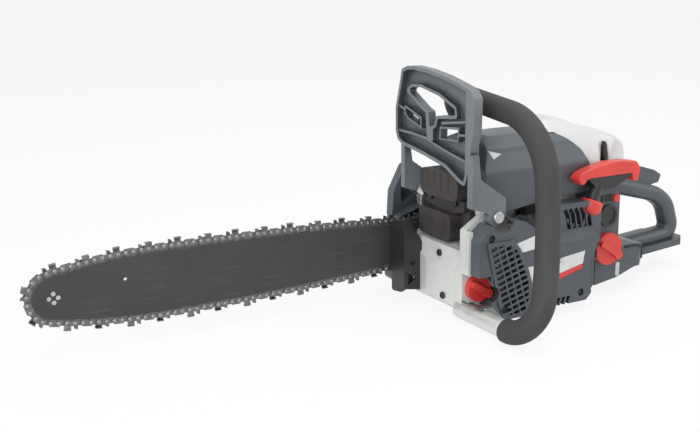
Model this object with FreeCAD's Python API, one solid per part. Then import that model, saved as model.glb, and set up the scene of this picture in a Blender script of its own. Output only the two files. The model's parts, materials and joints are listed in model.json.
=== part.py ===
import FreeCAD, Part

import math
import os

# Petrol chainsaw, in millimetres.
# The bar points to -X, the operator's left is -Y and +Z is up.
# The origin is on the ground, under the crankshaft's axis and in the engine's middle plane.

V = FreeCAD.Vector

# Overrun of every cutting solid, and the clearances that fits share
cut_over = 5.0
straight_share = 0.002
running_clearance = 0.3
shaft_clearance = 0.05

# Main layout
crank_height = 66.5
bar_side = 62.0
top_height = 200.0
cover_wall = 2.5
screw_radius = 2.4
screw_head_radius = 4.4
screw_head_height = 3.5

# Saw chain, measured on its rivet line
chain_pitch = 8.255
drive_gauge = 1.5
strap_thickness = 1.2
strap_end = 3.1
strap_foot = 3.8
strap_belly = 0.6
rail_clearance = 0.1
strap_crown = 3.3
tang_depth = 8.6
tang_half_width = 3.4
cutter_height = 7.2
cutter_half_width = 3.6
cutter_plate = 1.2
cutter_overlap = 0.5
depth_gauge_height = 6.4
nose_teeth = 10
sprocket_teeth = 7

# Guide bar
nose_distance = 516.0
shoulder_distance = 398.0
shoulder_half_height = 37.0
bar_thickness = 4.4
bar_groove_depth = 6.2
bar_tail_distance = 30.0
bar_slot_front = 88.0
bar_slot_rear = 36.0
bar_slot_height = 9.0
nose_rivet_radius = 2.2
nose_rivet_spread = 4.6
nose_race_radius = 9.0
nose_sprocket_root = 16.6
nose_sprocket_tip = 21.5
oil_hole_radius = 2.0
oil_hole_distance = 442.0
oil_hole_rise = 8.0

# Bar studs, nuts and chain tensioner
stud_radius = 4.0
stud_front = 76.0
stud_rear = 47.0
stud_end = 101.0
nut_radius = 7.5
nut_height = 7.0
tension_screw_radius = 2.5
tension_screw_drop = 16.0

# Crankcase and its oil tank
case_front = 106.0
case_rear = 72.0
case_left = 26.0
case_right = 50.0
case_bottom = 12.0
tank_left = 58.0
tank_rear = 54.0
tank_ledge = 59.0
tank_ledge_depth = 5.0
tank_top = 80.0
tank_bend = 13.0
tank_bend_depth = 7.0
deck_height = 100.0
deck_front = 44.0
deck_rear = 44.0
shoulder_height = 86.0
case_rim_wall = 4.0
case_foot_front = 20.0
case_foot_rear = 58.0
case_foot_left = 28.0
case_foot_right = 44.0
bar_pad_half_height = 15.0
chamber_radius = 31.0
chamber_half_width = 18.0
spur_width = 6.0
spur_thickness = 16.0
spur_top = 108.0
lug_thickness = 7.0
lug_radius = 9.0
handle_pad_front = 34.0
handle_pad_rear = 6.0
handle_pad_left = 38.0
handle_pad_right = 64.0
handle_pad_sink = 2.5
handle_pad_rise = 6.0
handle_pad_bottom = deck_height - handle_pad_sink
handle_pad_top = deck_height + handle_pad_rise

# Caps of the two tanks
oil_cap_x = 87.0
oil_cap_z = 40.0
oil_cap_radius = 15.0
fuel_cap_x = 100.0
fuel_cap_z = 57.0
fuel_cap_radius = 19.0
cap_depth = 7.0
cap_rib_height = 5.0
cap_rib_width = 7.0
cap_stem_radius_share = 0.62
cap_stem_length = 9.0

# Crankshaft, rod, piston and cylinder
journal_radius = 7.5
crank_left_end = 57.0
crank_right_end = 92.0
web_radius = 27.0
web_inner = 6.0
web_outer = 15.0
crank_throw = 16.0
crank_pin_radius = 6.0
piston_radius = 22.4
piston_height = 26.0
piston_top_z = 158.0
wrist_pin_radius = 5.0
wrist_pin_drop = 15.0
rod_eye_radius = 9.0
rod_width = 7.0
rod_gap = 1.5
bore_clearance = 0.1
barrel_radius = 26.5
cylinder_room = 22.0
cylinder_top = top_height - cylinder_room
fin_half_length = 40.0
fin_half_width = 33.0
fin_thickness = 2.2
fin_pitch = 9.0
fin_count = 8
fin_corner = 14.0
plug_bore_radius = 5.5
spark_plug_hex = 9.0
spark_plug_hex_height = 7.0
spark_plug_top = 16.0
boot_radius = 8.5
boot_height = 9.0

# Flywheel, coil and recoil starter
flywheel_radius = 42.0
flywheel_inner_face = 31.0
flywheel_disc = 5.0
flywheel_outer_face = 52.0
flywheel_hub_radius = 14.0
blade_count = 14
blade_thickness = 2.5
blade_root = 24.0
flywheel_room = 2.0
coil_gap = 0.5
coil_half_length = 11.0
coil_depth = 12.0
coil_height = 16.0
coil_foot = 3.5
pulley_radius = 37.7
pulley_groove = 2.6
pulley_inner_face = 67.0
pulley_outer_face = 77.0
pulley_room = 1.5
pulley_post_radius = 6.0
spring_outer = 26.0
spring_inner = 16.0
spring_width = 5.0

# Starter cover
cover_front = 106.0
cover_rear = 57.0
cover_waist = 47.0
cover_skirt_rear = 79.0
cover_skirt = 4.0
cover_slope = 11.0
cover_base = 12.0
cover_band = 82.0
cover_face = 90.0
cover_corner = 8.0
cover_lower_corner = 5.0
arch_x = 70.0
arch_z = 62.0
arch_radius = 58.0
arch_rise = 4.0
upper_front = 2.0
upper_rear = 70.0
upper_top = 124.0
upper_face = 80.0
fin_zone_front = 14.0
fin_zone_rear = 52.0
fin_zone_bottom = 95.0
fin_zone_top = 119.0
side_fin_count = 5
side_fin_thickness = 2.0
side_fin_lean = 7.0
grille_slats = 12
grille_slat_share = 0.36
grille_front_top = 95.0
grille_front_bottom = 70.0
grille_rear_top = 64.0
grille_rear_mid = 45.0
grille_rear_bottom = 38.0
grille_top = 95.0
grille_bottom = 11.0
grille_rise = 8.0
grille_rib = 2.2
grille_upright = 1.8
grille_relief = 1.6
cap_cut_radius = 20.5
cap_cut_mouth = 9.0
cap_cut_depth = 13.0
cap_cut_shift = 2.0
pivot_pocket_radius = 15.0
decal_recess = 0.4
label_front = 3.0
label_rear = 36.0
label_bottom = 42.0
label_top = 71.0
label_slant = 4.0
base_slot_count = 3
base_slot_front = -3.0
base_slot_pitch = 7.0
base_slot_width = 4.5
base_slot_height = 9.0

# Starter rope, its guide and its grip
rope_radius = 1.8
rope_lean = 22.0
rope_side = 72.0
rope_guide_z = 109.0
rope_guide_radius = 11.5
rope_guide_foot_radius = 7.5
rope_guide_length = 15.0
rope_inside = 92.0
grip_front = 34.0
grip_rear = 127.0
grip_low = 139.0
grip_high = 165.0
grip_half_width = 8.0
grip_leg_width = 6.0
grip_neck_radius = 7.0

# Muffler and heat shield
muffler_front = 96.0
muffler_split = 79.0
muffler_rear = 63.0
muffler_left = 33.0
muffler_right = 41.0
muffler_bottom = 84.0
muffler_top = 160.0
muffler_waist = 122.0
muffler_band = 16.0
muffler_band_depth = 8.0
muffler_corner = 9.0
flute_count = 4
flute_width = 5.0
muffler_bolt_radius = 4.2
muffler_bolt_left = 19.0
muffler_bolt_right = 30.0
muffler_bolt_z = 127.0
shield_thickness = 1.2
shield_side = 46.0
shield_bottom = 82.0
shield_top = 165.0
shield_flange_front = 92.0
shield_tab_bottom = 126.0
shield_tab_top = 140.0

# Top cover
top_front = 79.0
top_rear = 72.0
top_left = 62.0
top_right = 41.0
top_seam_front = 119.0
top_seam_rear = 131.0
top_shoulder = 34.0

# Filter cover, filter, carburettor
filter_front = 22.0
filter_rear = 169.0
filter_left = 50.0
filter_right = 42.0
filter_bend = 104.0
filter_cheek = 142.0
filter_base = 129.0
filter_top = 213.0
filter_shoulder = 30.0
element_front = 96.0
element_rear = 140.0
element_half_width = 30.0
element_bottom = 132.0
element_top = 168.0
carb_front = 62.0
carb_rear = 90.0
carb_half_width = 19.0
carb_bottom = 106.0
carb_top = 146.0
carb_bore_radius = 9.0
intake_front = 41.0
intake_radius = 16.0
latch_x = 102.0
latch_z = 169.0
latch_length = 27.0
latch_width = 6.0
latch_depth = 5.0
latch_pin_radius = 1.0
latch_room = 6.5
latch_pin_reach = 5.5

# Rear handle with its fuel tank
tank_unit_front = 86.0
tank_unit_left = 56.0
tank_unit_right = 46.0
tank_unit_base = 13.0
column_rear = 120.0
column_top = 128.0
lobe_rear = 187.0
lobe_bend = 156.0
lobe_taper = 27.0
lobe_top = 56.0
lobe_base = 27.0
loop_width = 25.0
loop_thickness = 21.0
loop_corner = 9.0
loop_start = 112.0
loop_brow = 157.0
loop_top_front = 117.3
loop_top_rear = 99.0
loop_rear = 261.0
loop_base = 38.0
loop_shoulder = 226.0
guard_plate_left = 18.0
guard_plate_right = 46.0
guard_plate_front = 150.0
guard_plate_rear = 272.0
guard_plate_thickness = 9.0
guard_plate_low = 21.0
guard_plate_rise = 9.0
side_plug_x = 102.0
side_plug_z = 96.0
side_plug_radius = 13.0
side_plug_depth = 6.0
window_x = 121.0
window_z = 28.0
window_length = 17.0
window_width = 6.0
window_depth = 2.0
mount_radius = 8.0

# Controls in the rear handle
trigger_pivot_x = 142.0
trigger_pivot_z = 119.0
trigger_length = 26.0
trigger_drop = 24.0
trigger_width = 9.0
trigger_thickness = 7.0
trigger_pin_radius = 2.5
lock_pivot_x = 194.0
lock_front = 186.0
lock_rear = 234.0
lock_width = 14.0
lock_height = 13.0
lock_thickness = 6.0
switch_x = 97.0
switch_z = 117.0
switch_length = 12.0
switch_height = 8.0
switch_depth = 6.0
switch_travel = 3.0
choke_x = 112.0
choke_z = 116.0
choke_radius = 3.0
choke_head_radius = 4.5
choke_head_length = 4.0
choke_stem = 16.0

# Front handle: centre line, tube and grip sleeve
tube_radius = 10.0
sleeve_radius = 13.0
handle_foot_x = 98.0
handle_inner_y = 44.0
handle_low_y = 183.0
handle_mid_x = 56.0
handle_mid_y = 141.0
handle_mid_z = 105.0
handle_high_x = 61.0
handle_high_y = 137.0
handle_high_rise = 26.0
handle_high_z = top_height + handle_high_rise
handle_right_x = 60.0
handle_right_y = 34.0
handle_right_rise = 44.0
handle_right_z = top_height + handle_right_rise
handle_leg_x = 20.0
handle_leg_y = 52.0
handle_leg_drop = 14.0
handle_leg_z = top_height - handle_leg_drop
handle_low_bend = 38.0
handle_mid_bend = 160.0
handle_high_bend = 70.0
handle_right_bend = 30.0
handle_leg_bend = 60.0
sleeve_start_y = 128.0
sleeve_end_rise = 14.0
sleeve_end_z = top_height + sleeve_end_rise

# Front hand guard
guard_face = 100.0
guard_skin = 3.0
guard_rib_height = 8.0
guard_rib_width = 2.6
guard_band = 15.0
guard_rim = 4.0
guard_left = 79.0
guard_right = 75.0
guard_low = 155.0
guard_high = 275.0
guard_corner = 9.0
guard_pivot_x = 75.0
guard_pivot_z = 121.0
guard_boss_radius = 11.0
guard_arm_left = 69.0
guard_arm_thickness = 9.0
guard_arm_right = 56.0
guard_arm_right_thickness = 7.0
guard_screw_radius = 4.0
guard_screw_head = 6.5

# Bumper plate on the crankcase's front
bumper_front = 125.0
bumper_thickness = 3.5
bumper_left = 29.0
bumper_right = 57.0
bumper_bottom = 12.0
bumper_top = 102.0
bumper_web = 3.0

# Clutch, its cover and the brake
clutch_front = 112.0
clutch_rear = 56.0
clutch_inner = 69.0
clutch_face = 95.0
clutch_top = 112.0
clutch_corner = 7.0
pillar_top = 155.0
pillar_front = 107.0
pillar_rear = 74.0
pillar_inner = 82.0
drum_radius = 36.0
drum_wall = 1.8
drum_inner = 70.0
drum_outer = 88.0
sprocket_inner = 57.0
shoe_gap = 0.8
shoe_hub = 12.0
shoe_slot = 4.0
band_thickness = 1.0
band_width = 12.0
pump_left = 50.0
pump_right = 55.0
pump_half_length = 17.0
pump_half_height = 15.0


# Geometry helpers

def on_shares(shares, low_u, high_u, low_v, high_v):
    """Points of an outline given as shares of its own box."""
    return [(low_u + u * (high_u - low_u), low_v + v * (high_v - low_v)) for u, v in shares]


def corner_arc(before, corner, after, radius):
    """Start, middle and end of the tangent arc that rounds a corner."""
    back = before.sub(corner)
    ahead = after.sub(corner)
    room = min(back.Length, ahead.Length) * 0.48
    back.normalize()
    ahead.normalize()
    half = back.getAngle(ahead) / 2
    cut = max(min(radius / math.tan(half), room), room * straight_share)
    fitted = cut * math.tan(half)
    start = corner.add(V(back).multiply(cut))
    end = corner.add(V(ahead).multiply(cut))
    middle_way = back.add(ahead)
    if middle_way.Length < straight_share:
        return start, corner, end
    middle_way.normalize()
    middle = corner.add(middle_way.multiply(fitted / math.sin(half) - fitted))
    return start, middle, end


def bend(start, middle, end):
    """Arc through three points, or a straight run where they hardly leave a line."""
    chord = end.sub(start)
    if middle.distanceToLine(start, chord) < chord.Length * straight_share:
        return Part.LineSegment(start, end).toShape()
    return Part.Arc(start, middle, end).toShape()


def path_wire(points, radii):
    """Open path of straight runs, each corner rounded by its own radius."""
    edges = []
    last = points[0]
    for index, radius in enumerate(radii, start=1):
        start, middle, end = corner_arc(points[index - 1], points[index], points[index + 1], radius)
        edges.append(Part.LineSegment(last, start).toShape())
        edges.append(bend(start, middle, end))
        last = end
    edges.append(Part.LineSegment(last, points[-1]).toShape())
    return Part.Wire(edges)


def loop_wire(points, radius):
    """Closed outline, its corners rounded where a radius is given."""
    if not radius:
        return Part.makePolygon(points + [points[0]])
    arcs = []
    count = len(points)
    for index, corner in enumerate(points):
        arcs.append(corner_arc(points[index - 1], corner, points[(index + 1) % count], radius))
    edges = []
    for index, (start, middle, end) in enumerate(arcs):
        edges.append(bend(start, middle, end))
        edges.append(Part.LineSegment(end, arcs[(index + 1) % count][0]).toShape())
    return Part.Wire(edges)


def side_face(points, y, radius=0):
    return Part.Face(loop_wire([V(x, y, z) for x, z in points], radius))


def side_plate(points, y_low, y_high, radius=0):
    """Outline in X and Z, extruded along Y."""
    return side_face(points, y_low, radius).extrude(V(0, y_high - y_low, 0))


def front_plate(points, x_low, x_high, radius=0):
    """Outline in Y and Z, extruded along X."""
    face = Part.Face(loop_wire([V(x_low, y, z) for y, z in points], radius))
    return face.extrude(V(x_high - x_low, 0, 0))


def top_plate(points, z_low, z_high, radius=0):
    """Outline in X and Y, extruded along Z."""
    face = Part.Face(loop_wire([V(x, y, z_low) for x, y in points], radius))
    return face.extrude(V(0, 0, z_high - z_low))


def block(x_low, x_high, y_low, y_high, z_low, z_high):
    return Part.makeBox(x_high - x_low, y_high - y_low, z_high - z_low, V(x_low, y_low, z_low))


def rod_y(x, z, y_low, y_high, radius):
    return Part.makeCylinder(radius, y_high - y_low, V(x, y_low, z), V(0, 1, 0))


def rod_x(y, z, x_low, x_high, radius):
    return Part.makeCylinder(radius, x_high - x_low, V(x_low, y, z), V(1, 0, 0))


def rod_z(x, y, z_low, z_high, radius):
    return Part.makeCylinder(radius, z_high - z_low, V(x, y, z_low), V(0, 0, 1))


def ring_y(x, z, y_low, y_high, outer, inner):
    hole = rod_y(x, z, y_low - cut_over, y_high + cut_over, inner)
    return rod_y(x, z, y_low, y_high, outer).cut(hole)


def hexagon_y(x, z, y_low, y_high, radius):
    points = [(x + radius * math.cos(math.pi * k / 3), z + radius * math.sin(math.pi * k / 3)) for k in range(6)]
    return side_plate(points, y_low, y_high)


def rectangle(low_u, high_u, low_v, high_v):
    return [(low_u, low_v), (high_u, low_v), (high_u, high_v), (low_u, high_v)]


def fused(shapes):
    whole = shapes[0]
    for shape in shapes[1:]:
        whole = whole.fuse(shape)
    return whole.removeSplitter()


def side_shell(points, y_open, y_closed, radius, wall):
    """Cover with its outline in X and Z, closed at one face and open at the other."""
    inward = -1 if y_closed > y_open else 1
    outer = side_plate(points, y_open, y_closed, radius)
    mouth = side_face(points, y_open - cut_over * (-inward), radius).makeOffset2D(-wall)
    depth = y_closed + inward * wall - (y_open - cut_over * (-inward))
    return outer.cut(mouth.extrude(V(0, depth, 0)))


def swept(path, section):
    return path.makePipeShell([section], True, False)


def round_sweep(path, start, direction, radius):
    return swept(path, Part.Wire(Part.makeCircle(radius, start, direction)))


# Saw chain route: four tangent arcs above the centre line, mirrored below it

def shoulder_arc_radius(distance, low_radius):
    """Radius of the arc that leaves the bar's highest point level and meets an end circle."""
    rise = shoulder_half_height
    return (distance ** 2 + rise ** 2 - low_radius ** 2) / (2 * (rise - low_radius))


def end_radius(teeth):
    return chain_pitch / (2 * math.sin(math.pi / (2 * teeth)))


nose_radius = end_radius(nose_teeth)
drive_radius = end_radius(sprocket_teeth)
front_reach = nose_distance - shoulder_distance
front_arc = shoulder_arc_radius(front_reach, nose_radius)
back_arc = shoulder_arc_radius(shoulder_distance, drive_radius)
front_turn = math.asin(front_reach / (front_arc - nose_radius))
back_turn = math.asin(shoulder_distance / (back_arc - drive_radius))


def upper_half_arcs():
    """Centre x, centre z, radius, start angle and turn of each arc, from nose tip to sprocket back."""
    quarter = math.pi / 2
    return [
        (-nose_distance, 0, nose_radius, math.pi, quarter - front_turn),
        (-shoulder_distance, shoulder_half_height - front_arc, front_arc, quarter + front_turn, front_turn),
        (-shoulder_distance, shoulder_half_height - back_arc, back_arc, quarter, back_turn),
        (0, 0, drive_radius, quarter - back_turn, quarter - back_turn),
    ]


half_loop = sum(radius * turn for _, _, radius, _, turn in upper_half_arcs())
link_count = 2 * round(half_loop / chain_pitch / 2)
rivet_step = 2 * half_loop / (2 * link_count)


def loop_point(distance):
    """Point on the rivet line, measured from the nose tip over the top."""
    around = distance % (2 * half_loop)
    mirrored = around > half_loop
    left = 2 * half_loop - around if mirrored else around
    for x, z, radius, start, turn in upper_half_arcs():
        if left <= radius * turn + shaft_clearance:
            angle = start - left / radius
            height = z + radius * math.sin(angle)
            side = -1 if mirrored else 1
            return V(x + radius * math.cos(angle), 0, crank_height + side * height)
        left -= radius * turn
    return V(drive_radius, 0, crank_height)


def link_frame(index):
    """Middle, travel direction and outward direction of the link between two rivets."""
    first = loop_point((index - 0.5) * rivet_step)
    second = loop_point((index + 0.5) * rivet_step)
    along = first.sub(second)
    half = along.Length / 2
    along.normalize()
    middle = first.add(second).multiply(0.5)
    outward = V(0, 1, 0).cross(along)
    return middle, along, outward, half


def link_plate(index, outline, y_low, y_high):
    """Flat link piece; its outline runs along the chain's travel and outward from the rivets."""
    middle, along, outward, half = link_frame(index)
    points = []
    for travel, height in outline:
        spot = middle.add(V(along).multiply(travel)).add(V(outward).multiply(height))
        points.append(V(spot.x, y_low, spot.z))
    return Part.Face(Part.makePolygon(points + [points[0]])).extrude(V(0, y_high - y_low, 0))


def drive_link(index):
    half = rivet_step / 2
    tip = half * 0.3
    outline = [
        (half + strap_end * 0.8, -strap_foot * 0.5),
        (half + strap_end * 0.8, strap_crown * 0.7),
        (-half - strap_end * 0.8, strap_crown * 0.7),
        (-half - strap_end * 0.8, -strap_foot * 0.5),
        (-tang_half_width, -strap_foot),
        (tip, -tang_depth),
        (tang_half_width, -strap_foot),
    ]
    return link_plate(index, outline, bar_side - drive_gauge / 2, bar_side + drive_gauge / 2)


def strap_outline():
    reach = rivet_step / 2 + strap_end
    return [
        (reach, -strap_foot * 0.2),
        (reach * 0.66, strap_crown),
        (-reach * 0.66, strap_crown),
        (-reach, -strap_foot * 0.2),
        (-reach * 0.7, -strap_foot),
        (0, -strap_foot + strap_belly),
        (reach * 0.7, -strap_foot),
    ]


def tie_strap(index, side):
    near = drive_gauge / 2
    far = near + strap_thickness
    low, high = (near, far) if side > 0 else (-far, -near)
    return link_plate(index, strap_outline(), bar_side + low, bar_side + high)


def cutter(index, side):
    """Side plate with depth gauge in front and a hooked top plate that reaches over the chain."""
    reach = rivet_step / 2 + strap_end
    outline = [
        (reach, -strap_foot * 0.2),
        (reach * 0.98, depth_gauge_height),
        (reach * 0.5, depth_gauge_height * 0.85),
        (reach * 0.28, strap_crown * 0.4),
        (-reach * 0.05, strap_crown),
        (-reach * 0.98, strap_crown),
        (-reach, -strap_foot * 0.2),
        (-reach * 0.7, -strap_foot),
        (0, -strap_foot + strap_belly),
        (reach * 0.7, -strap_foot),
    ]
    near = drive_gauge / 2
    far = near + strap_thickness
    low, high = (near, far) if side > 0 else (-far, -near)
    plate = link_plate(index, outline, bar_side + low, bar_side + high)
    middle, along, outward, half = link_frame(index)
    section = [
        (near, strap_crown * 0.6),
        (far, strap_crown * 0.3),
        (cutter_half_width, cutter_height * 0.62),
        (cutter_half_width, cutter_height),
        (-cutter_overlap, cutter_height),
        (-cutter_overlap, cutter_height - cutter_plate),
        (cutter_half_width - cutter_plate, cutter_height - cutter_plate),
        (near, strap_crown),
    ]
    front = middle.add(V(along).multiply(-reach * 0.02))
    points = []
    for across, height in section:
        spot = front.add(V(outward).multiply(height))
        points.append(V(spot.x, bar_side + side * across, spot.z))
    hook = Part.Face(Part.makePolygon(points + [points[0]])).extrude(V(along).multiply(-reach * 0.96))
    return plate.fuse(hook)


def drive_links():
    return Part.makeCompound([drive_link(2 * k) for k in range(link_count)])


def tie_straps():
    straps = []
    for k in range(link_count):
        for side in (-1, 1):
            if not carries_cutter(k, side):
                straps.append(tie_strap(2 * k + 1, side))
    return Part.makeCompound(straps)


def carries_cutter(k, side):
    """Every second link pair has one cutter, on the left and the right by turns."""
    return k % 2 == 0 and (k // 2) % 2 == (0 if side < 0 else 1)


def cutters():
    found = []
    for k in range(link_count):
        for side in (-1, 1):
            if carries_cutter(k, side):
                found.append(cutter(2 * k + 1, side))
    return Part.makeCompound(found)


# Guide bar

def bar_outline_face(inset, tail, y):
    """Bar outline, set in from the rivet line by the same amount all round."""
    nose = nose_radius - inset
    front = front_arc - inset
    back = back_arc - inset
    quarter = math.pi / 2

    def at(x, z, radius, angle, side):
        return V(x + radius * math.cos(angle), y, crank_height + side * (z + radius * math.sin(angle)))

    front_z = shoulder_half_height - front_arc
    back_z = shoulder_half_height - back_arc
    tail_angle = math.acos((shoulder_distance - tail) / back)
    edges = []
    tails = []
    for side in (1, -1):
        tip = at(-nose_distance, 0, nose, math.pi, 1)
        nose_end = at(-nose_distance, 0, nose, quarter + front_turn, side)
        nose_mid = at(-nose_distance, 0, nose, (math.pi + quarter + front_turn) / 2, side)
        top = at(-shoulder_distance, front_z, front, quarter, side)
        top_mid = at(-shoulder_distance, front_z, front, quarter + front_turn / 2, side)
        end = at(-shoulder_distance, back_z, back, tail_angle, side)
        end_mid = at(-shoulder_distance, back_z, back, (quarter + tail_angle) / 2, side)
        edges.append(Part.Arc(tip, nose_mid, nose_end).toShape())
        edges.append(Part.Arc(nose_end, top_mid, top).toShape())
        edges.append(Part.Arc(top, end_mid, end).toShape())
        tails.append(end)
    edges.append(Part.LineSegment(tails[0], tails[1]).toShape())
    wire = Part.Wire(Part.__sortEdges__(edges))
    return Part.Face(wire)


def guide_bar():
    """Two rails with a groove between them for the drive links, and a slotted tail."""
    low = bar_side - bar_thickness / 2
    high = bar_side + bar_thickness / 2
    groove_low = bar_side - drive_gauge / 2
    groove_high = bar_side + drive_gauge / 2
    rail = strap_foot + rail_clearance
    left = bar_outline_face(rail, bar_tail_distance, low).extrude(V(0, groove_low - low, 0))
    right = bar_outline_face(rail, bar_tail_distance, groove_high).extrude(V(0, high - groove_high, 0))
    core = bar_outline_face(rail + bar_groove_depth, bar_tail_distance, groove_low)
    core = core.extrude(V(0, drive_gauge, 0))
    nose_room = rod_y(-nose_distance, crank_height, groove_low, groove_high, nose_radius)
    bar = fused([left, core.cut(nose_room), right])
    slot = block(-bar_slot_front, -bar_slot_rear, low - cut_over, high + cut_over,
                 crank_height - bar_slot_height / 2, crank_height + bar_slot_height / 2)
    bar = bar.cut(slot)
    for x, z in nose_rivet_places():
        bar = bar.cut(rod_y(x, z, low - cut_over, high + cut_over, nose_rivet_radius))
    oil_hole = rod_y(-oil_hole_distance, crank_height + oil_hole_rise, low - cut_over, high + cut_over,
                     oil_hole_radius)
    return bar.cut(oil_hole)


def nose_rivet_places():
    places = []
    for k in range(4):
        angle = math.pi * k / 2
        places.append((-nose_distance + nose_rivet_spread * math.cos(angle),
                       crank_height + nose_rivet_spread * math.sin(angle)))
    return places


def nose_rivets():
    """Bearing race inside the nose with its four rivets."""
    groove_low = bar_side - drive_gauge / 2
    groove_high = bar_side + drive_gauge / 2
    race = rod_y(-nose_distance, crank_height, groove_low, groove_high, nose_race_radius)
    rivets = [rod_y(x, z, bar_side - bar_thickness / 2, bar_side + bar_thickness / 2, nose_rivet_radius)
              for x, z in nose_rivet_places()]
    return fused([race] + rivets)


nose_tooth_shares = [(-0.36, nose_sprocket_root), (-0.13, nose_sprocket_tip), (0.13, nose_sprocket_tip),
                     (0.36, nose_sprocket_root)]


def nose_sprocket():
    """Toothed disc in the bar's nose; each tooth stands between two drive links."""
    points = []
    for k in range(nose_teeth):
        for part, radius in nose_tooth_shares:
            angle = math.pi + (k + 0.5 + part) * 2 * math.pi / nose_teeth
            points.append((-nose_distance + radius * math.cos(angle), crank_height + radius * math.sin(angle)))
    half = drive_gauge / 2 - shaft_clearance
    disc = side_plate(points, bar_side - half, bar_side + half)
    return disc.cut(rod_y(-nose_distance, crank_height, bar_side - half - cut_over, bar_side + half + cut_over,
                          nose_race_radius + shaft_clearance))


# Crankcase

def case_profile():
    return [
        (-tank_rear, case_bottom),
        (-tank_rear, tank_top),
        (-deck_front, deck_height),
        (deck_rear, deck_height),
        (deck_rear + case_rim_wall, shoulder_height),
        (case_rear, shoulder_height),
        (case_rear, case_bottom + case_rim_wall),
        (case_rear - case_rim_wall, case_bottom),
    ]


def tank_block():
    """Oil tank at the front, with its ledge and a bent right half."""
    profile = [
        (-case_front + tank_ledge_depth, case_bottom),
        (-case_front, case_bottom + tank_ledge_depth),
        (-case_front, tank_ledge),
        (-case_front + tank_ledge_depth, tank_ledge + tank_ledge_depth),
        (-case_front + tank_ledge_depth, tank_top),
        (-tank_rear, tank_top),
        (-tank_rear, case_bottom),
    ]
    body = side_plate(profile, -tank_left, case_right)
    wedge = top_plate([
        (-case_front - cut_over, tank_bend),
        (-case_front, tank_bend),
        (-case_front + tank_bend_depth, case_right + cut_over),
        (-case_front - cut_over, case_right + cut_over),
    ], 0, tank_top + cut_over)
    return body.cut(wedge)


def crankcase():
    body = side_plate(case_profile(), -case_left, case_right)
    rim = side_shell(case_profile(), -tank_left, -case_left, 0, case_rim_wall)
    case = fused([tank_block(), body, rim, front_spur(), bar_pad(), handle_pad(), case_foot()])
    chamber = rod_y(0, crank_height, -chamber_half_width, chamber_half_width, chamber_radius)
    throat = rod_z(0, 0, crank_height, deck_height + cut_over, piston_radius + bore_clearance)
    shaft = rod_y(0, crank_height, -crank_left_end, crank_right_end, journal_radius + shaft_clearance)
    groove = block(-case_front - cut_over, -handle_foot_x + tube_radius, -tank_left - cut_over,
                   -handle_inner_y, -cut_over, handle_foot_z() + tube_radius)
    cap_hole = rod_y(-oil_cap_x, oil_cap_z, -tank_left - cut_over, -tank_left + cap_stem_length + cover_wall,
                     oil_cap_radius * cap_stem_radius_share + shaft_clearance)
    wheel_room = rod_y(0, crank_height, -tank_left - cut_over, -case_left - case_rim_wall,
                       flywheel_radius + flywheel_room)
    for tool in (chamber, throat, shaft, groove, cap_hole, wheel_room):
        case = case.cut(tool)
    for x, z in bar_studs_places():
        case = case.cut(rod_y(x, z, case_right - cut_over, stud_end, stud_radius))
    pivot_left = rod_y(-guard_pivot_x, guard_pivot_z, -cover_face, 0, guard_screw_radius)
    return case.cut(pivot_left).removeSplitter()


def front_spur():
    """Bright blade at the left front that runs up to the lug of the guard's pivot."""
    front = case_front + tank_ledge_depth * 0.6
    blade = [
        (-front, tank_ledge + tank_ledge_depth),
        (-front, spur_top),
        (-guard_pivot_x, guard_pivot_z + lug_radius * 0.9),
        (-guard_pivot_x + lug_radius, guard_pivot_z),
        (-guard_pivot_x + lug_radius * 0.6, guard_pivot_z - lug_radius),
        (-front + spur_width, spur_top - spur_width),
        (-front + spur_width, tank_top),
        (-tank_rear - spur_width, tank_top),
        (-tank_rear - spur_width, tank_ledge),
    ]
    plate = side_plate(blade, -tank_left - lug_thickness, -tank_left)
    lug = rod_y(-guard_pivot_x, guard_pivot_z, -tank_left - lug_thickness, -tank_left + lug_thickness, lug_radius)
    post = side_plate(rectangle(-front, -front + spur_width, tank_ledge, spur_top), -tank_left - spur_thickness,
                      -tank_left, spur_width / 3)
    return fused([plate, lug, post])


def bar_pad():
    """Raised pad that the bar is clamped against."""
    low = crank_height - bar_pad_half_height
    high = crank_height + bar_pad_half_height
    points = rectangle(-bar_slot_front, -bar_slot_rear, low, high)
    return side_plate(points, case_right, bar_side - bar_thickness / 2, stud_radius)


def handle_pad():
    """Shelf above the chain that carries the right foot of the front handle."""
    return block(-handle_pad_front, -handle_pad_rear, handle_pad_left, handle_pad_right, handle_pad_bottom,
                 handle_pad_top)


def case_foot():
    """Flat foot that the saw stands on."""
    points = [
        (-case_foot_front, case_bottom),
        (-case_foot_front + case_bottom / 2, 0),
        (case_foot_rear - case_bottom / 2, 0),
        (case_foot_rear, case_bottom),
    ]
    return side_plate(points, -case_foot_left, case_foot_right)


def bar_studs_places():
    return [(-stud_front, crank_height), (-stud_rear, crank_height)]


def bar_studs():
    start = case_right - cut_over
    return Part.makeCompound([rod_y(x, z, start, stud_end, stud_radius) for x, z in bar_studs_places()])


def bar_nuts():
    """Flanged nuts outside the clutch cover."""
    nuts = []
    for x, z in bar_studs_places():
        flange = rod_y(x, z, clutch_face, clutch_face + nut_height / 4, nut_radius * 1.25)
        nut = hexagon_y(x, z, clutch_face + nut_height / 4, clutch_face + nut_height, nut_radius)
        bore = rod_y(x, z, clutch_face - cut_over, stud_end + cut_over, stud_radius)
        nuts.append(flange.fuse(nut).cut(bore))
    return Part.makeCompound(nuts)


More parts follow.
